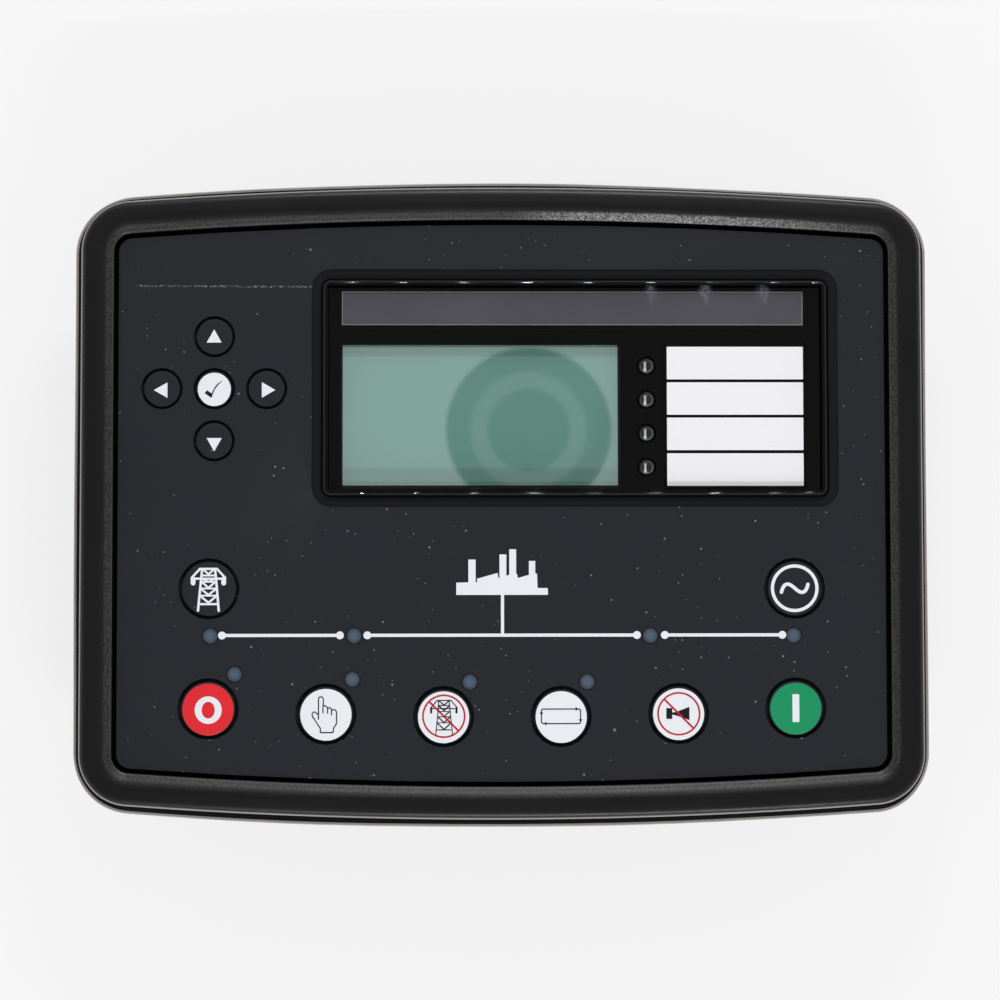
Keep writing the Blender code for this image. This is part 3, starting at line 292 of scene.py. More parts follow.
def pale_floor(reach=3.0, level=-0.05 * MM):
    """A square floor just under z = 0. A camera ray sees it partly as plain, pale light."""
    mesh = bpy.data.meshes.new("floor")
    corners = [(x, y, level) for x, y in ((-reach, -reach), (reach, -reach), (reach, reach), (-reach, reach))]
    mesh.from_pydata(corners, [], [(0, 1, 2, 3)])
    floor = bpy.data.objects.new("floor", mesh)
    bpy.context.scene.collection.objects.link(floor)
    kit = Finish("pale_floor")
    paper = kit.node("ShaderNodeBsdfDiffuse", {}, {"Color": (0.86, 0.86, 0.865)})
    glow = kit.node("ShaderNodeEmission", {}, {"Color": seen(251, 251, 252), "Strength": 1.0})
    camera_ray = kit.node("ShaderNodeLightPath", output="Is Camera Ray")
    mesh.materials.append(kit.show(kit.mix(camera_ray * 0.78, paper, glow)))
    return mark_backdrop(floor)


for row in BULB_ROWS:
    bulb_row(*row)
pale_floor()
print("bulbs:", BULB_COUNT * len(BULB_ROWS))

# %% [markdown]
# Every new surface is a grid of points: a profile carried along a path, or a profile turned
# round an axis. Each helper works on whole arrays. A shape is its points in millimetres and
# its faces. A closed shape whose volume comes out negative has its faces turned round, so
# that they always point outwards.

# %% Grids, closed shapes and pieces
def grid_shape(points, around=True, along=False, first_cap=False, last_cap=False):
    """Joins points[i, j] into four-sided faces.

    around closes each row on itself, and along joins the last row to the first. A cap
    closes the first or last row with one face.
    """
    rows, columns = points.shape[:2]
    number = np.arange(rows * columns).reshape(rows, columns)
    if around:
        number = np.concatenate([number, number[:, :1]], axis=1)
    if along:
        number = np.concatenate([number, number[:1]], axis=0)
    faces = np.stack([number[:-1, :-1], number[:-1, 1:], number[1:, 1:], number[1:, :-1]], axis=-1)
    faces = faces.reshape(-1, 4).tolist()
    if first_cap:
        faces.append(np.arange(columns)[::-1].tolist())
    if last_cap:
        faces.append(((rows - 1) * columns + np.arange(columns)).tolist())
    return outwards(points.reshape(-1, 3), faces)


def outwards(points, faces):
    """Turns all faces round if the volume they enclose, a sum of tetrahedra, is negative."""
    middle = points.mean(axis=0)
    volume = 0.0
    for face in faces:
        corners = points[face] - middle
        fan = np.cross(corners[1:-1], corners[2:])
        volume += float((fan @ corners[0]).sum())
    if volume < 0:
        faces = [face[::-1] for face in faces]
    return points, faces


def new_object(name, mesh, finish, crease, body):
    """Shades a mesh smooth except at edges sharper than crease, and puts it on a body."""
    mesh.shade_smooth()
    mesh.set_sharp_from_angle(angle=math.radians(crease))
    mesh.materials.clear()
    mesh.materials.append(finish)
    piece = bpy.data.objects.new(name, mesh)
    bpy.context.scene.collection.objects.link(piece)
    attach(piece, body)
    return piece


def make_piece(name, shapes, finish, body="controller", stands_for=()):
    """One object from several shapes, in metres."""
    start = np.cumsum([0] + [len(points) for points, _ in shapes])
    points = np.concatenate([points for points, _ in shapes]) * MM
    faces = [[corner + int(first) for corner in face]
             for first, (_, shape_faces) in zip(start, shapes) for face in shape_faces]
    mesh = bpy.data.meshes.new(name)
    mesh.from_pydata(points.tolist(), [], faces)
    piece = new_object(name, mesh, finish, 35, body)
    if stands_for:
        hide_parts(*stands_for)
    print(name, len(points), "points")
    return piece


def give_attribute(piece, name, values):
    """Stores one number for each vertex. Vertices that no value is given for get the last value."""
    numbers = np.full(len(piece.data.vertices), float(np.ravel(values)[-1]))
    numbers[:np.size(values)] = np.ravel(values)
    piece.data.attributes.new(name, "FLOAT", "POINT").data.foreach_set("value", numbers)


def curve_through(points, per=8, closed=False):
    """A smooth curve through points: a Catmull-Rom spline with per steps between two of them.

    Between p1 and p2 it is 0.5 * (2 p1 + (p2 - p0) t + (2 p0 - 5 p1 + 4 p2 - p3) t^2
    + (3 p1 - p0 - 3 p2 + p3) t^3).
    """
    points = np.asarray(points, float)
    if closed:
        padded = np.concatenate([points[-1:], points, points[:2]])
    else:
        padded = np.concatenate([2 * points[:1] - points[1:2], points, 2 * points[-1:] - points[-2:-1]])
    t = (np.arange(per) / per)[None, :, None]
    p0, p1, p2, p3 = (padded[k:len(padded) - 3 + k][:, None] for k in range(4))
    curve = 0.5 * (2 * p1 + (p2 - p0) * t + (2 * p0 - 5 * p1 + 4 * p2 - p3) * t ** 2
                   + (3 * p1 - p0 - 3 * p2 + p3) * t ** 3)
    curve = curve.reshape(-1, points.shape[1])
    return curve if closed else np.concatenate([curve, points[-1:]])


def bowed_outline(inset=0.0, width=242.0, height=181.8, corner=14.8, bow=1430.0,
                  corner_steps=24, edge_steps=48, side_steps=24):
    """A rounded rectangle whose upper and lower edges are arcs of radius bow, moved in by inset.

    Its corner arcs meet the bowed edge where sin(lean) = reach / (bow - corner). Without bow
    the edges are straight. The lower half is the upper half turned by 180 degrees.
    """
    width, height, corner = width - 2 * inset, height - 2 * inset, corner - inset
    reach = width / 2 - corner
    if bow:
        bow = bow - inset
        lean = math.asin(reach / (bow - corner))
        level = height / 2 - bow + (bow - corner) * math.cos(lean)
        turn = np.linspace(lean, -lean, edge_steps + 1)[1:-1]
        edge = np.stack([bow * np.sin(turn), height / 2 - bow * (1 - np.cos(turn))], axis=1)
    else:
        lean, level = 0.0, height / 2 - corner
        across = np.linspace(reach, -reach, edge_steps + 1)[1:-1]
        edge = np.stack([across, np.full_like(across, height / 2)], axis=1)
    angle = np.linspace(0, math.pi / 2 - lean, corner_steps + 1)
    arc = np.stack([reach + corner * np.cos(angle), level + corner * np.sin(angle)], axis=1)
    down = np.linspace(level, -level, side_steps + 1)[1:-1]
    side = np.stack([np.full_like(down, -width / 2), down], axis=1)
    half = np.concatenate([arc, edge, (arc * (-1, 1))[::-1], side])
    return np.concatenate([half, -half])


def level_ring(outline, level):
    """An outline's points at one level, or at a level for each point."""
    level = np.broadcast_to(np.asarray(level, float), (len(outline),))
    return np.column_stack([outline, level])


def turned(profile, centre, steps=64, hollow=False):
    """Turns (radius, level) pairs round a vertical axis: x = cx + r cos a, y = cy + r sin a.

    A hollow profile is a closed loop, so its last ring joins its first and it has no caps.
    """
    profile = np.asarray(profile, float)
    angle = np.arange(steps) * 2 * math.pi / steps
    radius, level = profile[:, :1], profile[:, 1:]
    points = np.stack([centre[0] + radius * np.cos(angle), centre[1] + radius * np.sin(angle),
                       np.broadcast_to(level, (len(profile), steps))], axis=-1)
    return grid_shape(points, along=hollow, first_cap=not hollow, last_cap=not hollow)


def stacked(rings, **caps):
    """One shape from (outline, level) pairs."""
    return grid_shape(np.stack([level_ring(outline, level) for outline, level in rings]), **caps)


def middle(node):
    """The centre of a CAD node's box in x and y, in millimetres."""
    low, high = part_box(node)
    return tuple(round(float(part), 3) for part in ((low + high) / 2 / MM)[:2])


def quarter(radius_from, level_from, radius, steps=6):
    """A quarter round from a side wall, up and in to a flat top: r cos a and r sin a."""
    angle = np.linspace(0, math.pi / 2, steps + 1)
    return np.column_stack([radius_from - radius * (1 - np.cos(angle)),
                            level_from + radius * np.sin(angle)])


print("outline of the lip:", len(bowed_outline()), "points")

# %% [markdown]
# The frame is a black moulding with a fine spark-eroded grain. Its section is a crowned band:
# it starts at the lip, rises to a crest and falls again to the groove round the face. The
# section is drawn once, as inset and level, and each of its points gives one bowed outline.
# The rings inside the frame, down to the shelf and the channel at its back, follow the CAD.

# %% Finish: moulded black plastic
def dust_specks(kit, cell, share, radius):
    """A mask of specks: one at most in each cell of size cell mm, in a share of the cells."""
    near = kit.node("ShaderNodeTexVoronoi", {"feature": "F1"},
                    {"Vector": kit.spot(), "Scale": 1000.0 / cell})
    chance, reach, strength = kit.parts(Wire(kit, near.socket.node.outputs["Color"]))
    edge = near / ((0.35 + reach) * (radius / cell))
    return (chance > 1 - share) * (1 - edge.smooth(0.6, 1.0)) * (0.35 + 0.65 * strength)


def moulded_black(name, colour, grain=0.32, depth=0.02, gloss=0.42, shine=0.4):
    """Satin black with grain-sized bumps and slow, faint changes of gloss and tone."""
    kit = Finish(name)
    fine = kit.noise(grain, 3.0, 0.6)
    cloud = kit.noise(26.0, 3.0)
    tone = kit.blend(cloud, colour, tuple(1.35 * c for c in colour))
    return kit.done(Base_Color=tone, Roughness=gloss + 0.10 * cloud + 0.10 * (fine - 0.5),
                    Specular_IOR_Level=shine, Normal=kit.bump(fine, depth))


def frame_black_with_painted_light():
    """The frame's black. It reads the attribute inset, the distance in mm from the outer edge.

    The first 0.15 mm and everything behind the edge are painted shade: a near-black matt shader
    stands in for the dark gap to the panel. From there to about 0.5 mm a pale band is a painted
    highlight along the edge. The groove at the inner edge is painted shade in the same way. On the
    inner slope, pale specks of grain are painted as sparkle, strongest on the right of the upper band.
    """
    kit = Finish("frame_black")
    inset = kit.attribute("inset")
    fine = kit.noise(0.35, 3.0, 0.6)
    cloud = kit.noise(26.0, 3.0)
    # Painted highlight: a pale band in the base colour from about 0.2 mm in from the outer edge.
    painted_edge_highlight = inset.smooth(0.18, 0.28) * (1 - inset.smooth(0.42, 0.9))
    plain = kit.blend(cloud, seen(4, 4, 5), seen(8, 8, 9))
    tone = kit.blend(painted_edge_highlight * (0.8 + 0.4 * cloud), plain, seen(150, 148, 148))
    x, y, z = kit.place()
    # Painted highlight: pale specks of grain on the inner slope stand in for sparkle, strongest on the right
    # of the upper band.
    painted_sparkle = kit.noise(0.55, 2.0, 0.7).smooth(0.3, 0.72) * inset.smooth(6.9, 7.8)
    stretch = (y > 60.0) * x.smooth(0.0, 24.0) * (1 - x.smooth(60.0, 112.0))
    tone = kit.blend(painted_sparkle * (0.12 + 0.88 * stretch), tone, seen(158, 156, 158))
    shader = kit.body(Base_Color=tone, Roughness=0.25 + 0.10 * cloud + 0.10 * fine,
                      Specular_IOR_Level=0.4, Normal=kit.bump(fine, 0.02))
    # Painted shade: a near-black matt shader on the wall, on the first 0.15 mm and in the groove.
    painted_shade = kit.body(Base_Color=seen(10, 10, 11), Roughness=0.9, Specular_IOR_Level=0.02)
    lit = inset.smooth(0.16, 0.26) * (1 - inset.smooth(9.55, 9.62))
    return kit.show(kit.mix(lit, painted_shade, shader))


frame_black = frame_black_with_painted_light()
case_black = moulded_black("case_black", seen(27, 27, 28), grain=0.45, depth=0.03, gloss=0.5)
print(frame_black.name, case_black.name)

# %% The frame
CROWN = [(0.0, 47.9), (0.1, 48.4), (0.18, 48.9), (0.32, 49.5), (0.55, 50.0), (0.85, 50.36),
         (1.25, 50.62), (1.75, 50.8), (2.4, 50.9), (3.3, 50.96), (4.7, 51.0), (6.0, 50.86),
         (7.2, 50.48), (8.3, 50.02), (9.42, 49.5), (9.65, 48.9)]
WALL = [(-1.5, 41.0), (-0.75, 45.0), (-0.09, 47.6)]
CHANNEL = [(6.0, 41.0), (6.0, 46.8), (3.86, 48.4), (1.8, 47.6), (0.9, 41.0)]
SCREW_BOSS = [(3.4, 40.3), (3.4, 43.4), (1.7, 43.4), (1.7, 40.3)]


def frame_rings(crown):
    """The frame's closed section, as rings from the rear edge over the crown and back."""
    shelf = bowed_outline(0, 211.0, 149.0, 12.0, 0)
    skirt = bowed_outline(0, 219.2, 159.2, 4.6, 0)
    rings = [(bowed_outline(inset), level) for inset, level in WALL + crown + [(9.65, 45.7)]]
    rings += [(shelf, 45.7), (shelf, 43.5), (skirt, 43.5), (skirt, 41.0)]
    return rings + [(bowed_outline(inset), level) for inset, level in CHANNEL]


crown = curve_through(CROWN, 6).tolist()
rings = frame_rings(crown)
bosses = [turned(SCREW_BOSS, middle(f"case_screw_{number}"), 32, hollow=True) for number in range(1, 7)]
front_frame = make_piece("front_frame_skin", [stacked(rings, along=True)] + bosses, frame_black,
                         stands_for=("front_frame",))
# The wall rings get inset -1 and the rings inside the frame get 12, so the frame's shader paints both with
# shade.
insets = np.full((len(rings), len(rings[0][0])), 12.0)
insets[:len(WALL)] = -1.0
insets[len(WALL):len(WALL) + len(crown)] = np.array(crown)[:, :1]
give_attribute(front_frame, "inset", insets)

# %% [markdown]
# The seal is a soft ring that swells a little past the frame. Its edge is never quite even, so
# its outline is the frame's, moved out by a slow wave round the path.

# %% Finish and piece: the seal
def seal_rubber():
    """Grey rubber. The attribute rim is 1 on its outer 0.8 mm; the rest, where the frame's shadow falls, is
    painted black as shadow.
    """
    kit = Finish("seal_rubber")
    fine = kit.noise(0.6, 2.0)
    grey = kit.blend(kit.noise(9.0, 3.0), seen(150, 142, 136), seen(186, 178, 170))
    # Painted shadow: where rim is 0, the seal's inner part under the frame is near-black.
    tone = kit.blend(kit.attribute("rim"), seen(8, 8, 8), grey)
    return kit.done(Base_Color=tone, Roughness=0.7 + 0.15 * fine, Specular_IOR_Level=0.2,
                    Normal=kit.bump(fine, 0.03))


def seal_edge(part):
    """The outer edge plus part: it lies 2.42 + 0.11 sin(5a + 0.6) + 0.08 sin(11a + 1) mm out."""
    lip = bowed_outline(0.0)
    way = np.arange(len(lip)) / len(lip) * 2 * math.pi
    swell = 2.42 + 0.11 * np.sin(5 * way + 0.6) + 0.08 * np.sin(11 * way + 1.0)
    return lip + (bowed_outline(-2.7) - bowed_outline(-1.7)) * (swell + part)[:, None]


SEAL_EDGE = [(-0.3, 38.7), (0.0, 39.2), (0.0, 40.2), (-0.3, 40.7), (-0.8, 40.7), (-0.85, 40.7)]
inner = bowed_outline(0, 218.6, 158.6, 5.0, 0)
rings = [(inner, 38.7)] + [(seal_edge(part), level) for part, level in SEAL_EDGE] + [(inner, 40.7)]
seal = make_piece("panel_seal", [stacked(rings, along=True)], seal_rubber(),
                  stands_for=("panel_gasket",))
# rim is 0 on the inner rings, which the seal's finish paints black as shadow, and 1 on the outer rings.
give_attribute(seal, "rim", np.repeat([0, 1, 1, 1, 1, 1, 0, 0], len(inner)))

# %% [markdown]
# Some CAD nodes have the right shape already, and only lack the small radius that every moulded
# or cut edge has. A copy of the node's mesh is merged, its flat triangles are joined, and a
# Bevel modifier rounds what is left of its sharp edges. The CAD node itself stays as it is.

# %% Rounded copies of CAD nodes
def rounded_copy(name, node, finish, width):
    """A copy of a CAD node with every edge sharper than 40 degrees rounded by width mm."""
    crease = 40
    mesh = bpy.data.meshes.new(name)
    merged = bmesh.new()
    merged.from_mesh(nodes[node].data)
    bmesh.ops.remove_doubles(merged, verts=merged.verts, dist=0.002 * MM)
    bmesh.ops.dissolve_limit(merged, angle_limit=math.radians(1.0), verts=merged.verts,
                             edges=merged.edges)
    merged.to_mesh(mesh)
    merged.free()
    piece = new_object(name, mesh, finish, crease, "controller")
    bevel = piece.modifiers.new("edges", "BEVEL")
    bevel.width, bevel.segments = width * MM, 2
    bevel.limit_method, bevel.angle_limit = "ANGLE", math.radians(crease)
    bevel.harden_normals = True
    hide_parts(node)
    print(name, "from", node, len(mesh.polygons), "faces before rounding")


# %% [markdown]
# The face is a charcoal polyester film on a moulded plate. It is matt, with a very fine grain,
# and like any face that has been handled it carries a little dust: a few bright specks, and one
# faint dusty scratch. Specks come from cells of noise: a cell shows one only where its own
# random number is high, and the speck's size comes from another.

# %% Finish: charcoal film with dust
def charcoal_film(name, colour, surround=False):
    """The film, with dust and the scratch. A surround has a darker matt step round the lens."""
    kit = Finish(name)
    x, y, z = kit.place()
    fine = kit.noise(0.22, 2.0, 0.6)
    cloud = kit.noise(45.0, 2.0)
    tone = kit.blend(cloud, tuple(0.94 * c for c in colour), tuple(1.10 * c for c in colour))
    fluff = dust_specks(kit, 1.1, 0.10, 0.20) * kit.noise(30.0, 1.0).smooth(0.42, 0.62)
    dust = fluff + dust_specks(kit, 2.6, 0.20, 0.30) + dust_specks(kit, 6.5, 0.25, 0.42)
    scratch = ((y - 62.14 + 0.006 * (x + 80)).size() < 0.28) * (x < -53.5) * (x > -106.0)
    broken = kit.noise(0.5, 2.0, 0.8).smooth(0.50, 0.60)
    dusty = (0.55 * dust.smaller(1.0) + 0.4 * scratch * broken).smaller(1.0)
    shader = kit.body(Base_Color=kit.blend(dusty, tone, seen(176, 178, 182)),
                      Roughness=0.56 + 0.06 * fine, Specular_IOR_Level=0.25,
                      Normal=kit.bump(fine, 0.006))
    if surround:
        step = kit.blend(cloud, seen(22, 23, 27), seen(25, 26, 30))
        matt = kit.body(Base_Color=step, Roughness=0.6, Specular_IOR_Level=0.1)
        shader = kit.mix((z < 47.95) * (z > 47.6), shader, matt)
    return kit.show(shader)

FILM = seen(28, 31, 37)
FILM_INSET = 10.86
face_film = charcoal_film("face_film", FILM, surround=True)
key_film = charcoal_film("key_film", FILM)
rounded_copy("fascia_film", "fascia", face_film, 0.22)

def film_edge_shape():
    """A bead along the face's outline: a quarter round of 0.4 mm on its outer upper edge."""
    turn = np.linspace(0, math.pi / 2, 7)
    section = [(FILM_INSET, 46.4)]
    section += [(FILM_INSET + 0.4 * (1 - math.cos(a)), 47.815 + 0.4 * math.sin(a)) for a in turn]
    section += [(11.5, 48.19), (11.5, 46.4)]
    return stacked([(bowed_outline(inset), level) for inset, level in section], along=True)

def polished_edge():
    """The cut edge of the film, glossy enough to answer each bulb with its own glint."""
    kit = Finish("film_edge")
    cloud = kit.noise(12.0, 2.0)
    tone = kit.blend(cloud, seen(27, 30, 36), seen(31, 34, 40))
    return kit.done(Base_Color=tone, Roughness=0.025 + 0.02 * cloud, Specular_IOR_Level=0.5)

make_piece("film_edge", [film_edge_shape()], polished_edge())

# %% [markdown]
# The keys are round caps of the same film-covered plastic, each in a round hole with a dark gap
# about it. A cap is a profile turned round its own axis: a collar that holds it under the face,
# a straight wall and a softly rounded rim. The white, red and green keys are printed discs on
# such caps, so the cap's own edge shows as a thin dark line outside the print.

# %% Key caps
FACE = 48.2
KEYS = {name: middle(name) for name in nodes if name.startswith("key_") and name != "key_mat"}
SMALL_KEYS = ("key_up", "key_left", "key_accept", "key_right", "key_down")
SMALL_CAP, LARGE_CAP = (5.15, 6.0), (7.75, 8.8)


def cap_shape(centre, radius, hole):
    """Collar of radius hole + 0.6, wall of the key's radius, rim rounded by 0.4 mm."""
    rim = quarter(radius, FACE - 0.4, 0.4)
    profile = [(hole + 0.6, 44.5), (hole + 0.6, 45.4), (hole + 0.5, 45.7), (radius, 45.7)]
    return turned(profile + rim.tolist() + [(radius - 1.0, FACE)], centre, 96)


for name, centre in KEYS.items():
    cap = cap_shape(centre, *(SMALL_CAP if name in SMALL_KEYS else LARGE_CAP))
    make_piece("cap_" + name, [cap], key_film, name, (name,))

# %% [markdown]
# Everything printed on the face is ink a few hundredths of a millimetre thick. Each symbol is
# drawn in its own flat grid, as strokes with round ends, rings and filled outlines, and is
# then given that thickness, so its edges stay sharp from any distance. A pattern in the
# material would do the same job, but would blur wherever it is baked. The symbols are the
# general ones for mains, generator, stop, start, by hand, automatic, test off load and horn
# off. The mode key shows only its loop of arrows.

# %% Inks
def print_ink(name, colour):
    """Opaque screen ink: one tone with the faint mottle and dust of a handled key."""
    kit = Finish(name)
    light = tuple(min(1.0, 1.01 * c) for c in colour)
    tone = kit.blend(kit.noise(1.6, 3.0), tuple(0.965 * c for c in colour), light)
    fine = kit.noise(0.25, 2.0)
    dusty = kit.blend(0.25 * dust_specks(kit, 3.2, 0.10, 0.10), tone, seen(150, 150, 150))
    return kit.done(Base_Color=dusty, Roughness=0.38 + 0.08 * fine, Specular_IOR_Level=0.3,
                    Normal=kit.bump(fine, 0.003))

INK_WHITE = print_ink("ink_white", seen(236, 239, 244))
INK_RED = print_ink("ink_red", seen(226, 42, 50))
INK_SIGN = print_ink("ink_sign_red", seen(190, 34, 48))
INK_GREEN = print_ink("ink_green", seen(24, 146, 96))
INK_BLACK = print_ink("ink_black", seen(20, 20, 24))
BASE_INK = (48.12, 48.228)
TOP_INK = (48.18, 48.25)
FACE_INK = (48.12, 48.232)
DISC_DROP = 0.15


# %% Flat shapes with a thickness
RISE = itertools.count()


def slab(outline, levels):
    """A flat outline given thickness. Each top is a hair above the last, so none share a plane."""
    outline = np.asarray(outline, float)
    top = levels[1] + 0.002 * (next(RISE) % 20)
    return stacked([(outline, levels[0]), (outline, top)], first_cap=True, last_cap=True)


def stroke(points, width, levels, closed=False):
    """A line of even width through points, with mitred corners and round ends.

    Each side lies half the width away, along the mean of the two normals at a corner, made
    longer by 1 / cos of half the turn.
    """
    points = np.asarray(points, float)
    steps = np.roll(points, -1, axis=0) - points if closed else points[1:] - points[:-1]
    normals = np.stack([-steps[:, 1], steps[:, 0]], axis=1) / np.hypot(*steps.T)[:, None]
    before = np.roll(normals, 1, axis=0) if closed else np.concatenate([normals[:1], normals])
    after = normals if closed else np.concatenate([normals, normals[-1:]])
    mean = before + after
    mean /= np.maximum((mean * after).sum(axis=1), 0.5)[:, None]
    left, right = points + mean * width / 2, points - mean * width / 2
    low, high = levels
    if closed:
        return stacked([(left, low), (left, high), (right, high), (right, low)], along=True)
    turn = np.linspace(0, math.pi, 9)[1:-1]
    ends = []
    for spot, normal in ((points[-1], normals[-1]), (points[0], -normals[0])):
        ahead = np.array([normal[1], -normal[0]])
        ends.append(spot + width / 2 * (np.cos(turn)[:, None] * normal + np.sin(turn)[:, None] * ahead))
    return slab(np.concatenate([left, ends[0], right[::-1], ends[1]]), (low, high))


def oval_ring(centre, outer, inner, levels, steps=96):
    """A flat ring between two ovals: x = cx + a cos t, y = cy + b sin t."""
    turn = np.arange(steps) * 2 * math.pi / steps
    around = np.stack([np.cos(turn), np.sin(turn)], axis=1)
    low, high = levels
    corners = ((outer, low), (outer, high), (inner, high), (inner, low))
    return stacked([(centre + around * size, level) for size, level in corners], along=True)


GRID = 91.04

def drawing(place, origin, unit=GRID):
    """Returns a function that turns grid points (right, down) into millimetres about place."""
    def to_face(points):
        points = np.reshape(np.asarray(points, float), (-1, 2))
        return np.asarray(place) + (points - origin) * (1, -1) / unit
    return to_face


def disc_print(name, ink, radius):
    """A printed disc that rolls over the cap's rim a little."""
    profile = [(radius - 0.08, 47.95), (radius + 0.03, 48.05), (radius, 48.14), (radius - 0.12, 48.21),
               (radius - 0.35, BASE_INK[1])]
    centre = (KEYS[name][0], KEYS[name][1] - DISC_DROP)
    return make_piece(f"disc_{name}", [turned(profile, centre, 96)], ink, name)


def key_print(key, part, shapes, ink):
    """Symbol shapes in one ink, riding on their key."""
    return make_piece(f"print_{key}_{part}", shapes, ink, key)


DISCS = {"key_accept": INK_WHITE, "key_stop": INK_RED, "key_start": INK_GREEN,
         "key_manual": INK_WHITE, "key_test": INK_WHITE, "key_auto": INK_WHITE, "key_mute": INK_WHITE}
for name, ink in DISCS.items():
    disc_print(name, ink, 4.84 if name in SMALL_KEYS else 7.42)

# %% Arrows and tick of the small keys
ARROWS = {
    "key_up": [(-82.70, 49.71), (-84.86, 45.90), (-80.54, 45.90)],
    "key_right": [(-65.10, 32.22), (-68.97, 34.48), (-68.97, 29.96)],
    "key_left": [(-99.96, 32.18), (-96.03, 34.40), (-96.03, 29.96)],
    "key_down": [(-82.57, 14.52), (-84.75, 18.38), (-80.39, 18.38)],
}
for key, corners in ARROWS.items():
    key_print(key, "arrow", [slab(corners, FACE_INK)], INK_WHITE)
TICK = [(545, 800), (690, 905), (715, 850), (790, 700), (885, 588), (1045, 488), (905, 622),
        (810, 740), (745, 870), (690, 1030), (665, 1035), (470, 895)]
place = drawing(KEYS["key_accept"], (772, 752), 109.3)
key_print("key_accept", "tick", [slab(place(TICK), TOP_INK)], INK_BLACK)

# %% Mains: a pylon, bold and white
MAINS_LINES = [
    (60, 540, 270, 985, 270), (58, 540, 270, 325, 505), (58, 985, 270, 1200, 505), (56, 365, 525,
    1160, 525), (62, 600, 290, 575, 520, 495, 1358), (62, 935, 290, 960, 520, 1035, 1358), (46,
    600, 442, 940, 442), (46, 585, 605, 955, 605), (46, 565, 780, 968, 780), (46, 548, 967, 985,
    967), (56, 530, 1187, 1005, 1187), (50, 645, 300, 765, 410, 885, 300), (40, 600, 530, 765,
    600, 935, 530), (52, 605, 620, 765, 765, 928, 620), (52, 590, 805, 765, 950, 945, 805), (52,
    570, 990, 765, 1150, 962, 990), (124, 365, 530, 365, 640), (124, 1160, 530, 1160, 640)
]


def pylon(lines, place, levels, extra=()):
    """Strokes of a pylon from rows (width, right, down, right, down ...), and filled shapes."""
    shapes = [stroke(place(line[1:]), line[0] / GRID, levels) for line in lines]
    return shapes + [slab(place(points), levels) for points in extra]


insulators = [[(306, 630), (424, 630), (366, 708)], [(1101, 630), (1219, 630), (1161, 708)]]
place = drawing(KEYS["key_mains"], (776, 788))
key_print("key_mains", "pylon", pylon(MAINS_LINES, place, FACE_INK, insulators), INK_WHITE)

# %% Generator: a ring round a sine wave
place = drawing(KEYS["key_generator"], (772, 802))
wave = curve_through(place([(425, 905), (455, 810), (515, 720), (600, 695), (690, 735), (775, 802),
                            (860, 870), (945, 908), (1030, 885), (1092, 795), (1120, 700)]), 4)
rings = [oval_ring(KEYS["key_generator"], (6.85, 6.85), (5.93, 5.93), FACE_INK)]
key_print("key_generator", "wave", rings + [stroke(wave, 1.0, FACE_INK)], INK_WHITE)

# %% Stop and start: a ring and a bar
x, y = KEYS["key_stop"]
ring = oval_ring((x + 0.05, y - 0.35), (3.85, 3.92), (1.88, 2.38), TOP_INK)
key_print("key_stop", "ring", [ring], INK_WHITE)
x, y = KEYS["key_start"]
bar = bowed_outline(0, 1.95, 7.95, 0.22, 0, 4, 2, 2) + (x, y - 0.05)
key_print("key_start", "bar", [slab(bar, TOP_INK)], INK_WHITE)

# %% By hand: a pointing hand in outline
HAND = [(590, 905), (590, 380), (608, 338), (650, 320), (694, 340), (718, 385), (710, 560), (758, 553),
        (800, 580), (838, 622), (880, 603), (915, 630), (950, 668), (990, 648), (1030, 672), (1060, 718),
        (1062, 1010), (978, 1140), (976, 1228), (952, 1250), (658, 1252), (636, 1236), (642, 1150),
        (430, 822), (424, 770), (446, 728), (485, 712), (588, 788)]
place = drawing(KEYS["key_manual"], (782, 770))
hand = [stroke(place(HAND), 0.33, TOP_INK)]
for line in ([(706, 560), (706, 735)], [(826, 622), (826, 745)], [(928, 668), (928, 790)]):
    hand += [stroke(place(line), 0.33, TOP_INK)]
key_print("key_manual", "hand", hand, INK_BLACK)

# %% Test off load: a thin pylon, barred
TEST_LINES = [
    (27, 620, 372, 985, 372), (27, 620, 372, 470, 560), (27, 985, 372, 1145, 560), (25, 480, 583,
    1130, 583), (25, 660, 385, 655, 560, 638, 780, 585, 1285), (25, 940, 385, 957, 600, 980, 830,
    1030, 1285), (24, 665, 505, 940, 505), (22, 650, 660, 962, 660), (22, 635, 796, 975, 796),
    (22, 618, 952, 990, 952), (28, 600, 1136, 1005, 1136), (32, 680, 385, 805, 495, 925, 385),
    (36, 668, 508, 720, 560, 805, 630, 890, 560, 940, 508), (30, 648, 650, 805, 785, 955, 655),
    (34, 638, 795, 805, 945, 975, 795), (34, 618, 948, 805, 1125, 990, 948), (54, 468, 570, 470,
    685), (54, 1130, 570, 1128, 685)
]
place = drawing(KEYS["key_test"], (793, 790))
key_print("key_test", "pylon", pylon(TEST_LINES, place, TOP_INK), INK_BLACK)


def barred(key, origin, ends, place):
    """A thin red ring with a bar across it, over the symbol."""
    levels = (48.2, 48.262)
    ring = oval_ring(place(origin), (6.2, 6.2), (5.7, 5.7), levels)
    key_print(key, "bar", [ring, stroke(place(ends), 0.52, levels)], INK_SIGN)


barred("key_test", (798, 782), [(415, 400), (1182, 1165)], place)

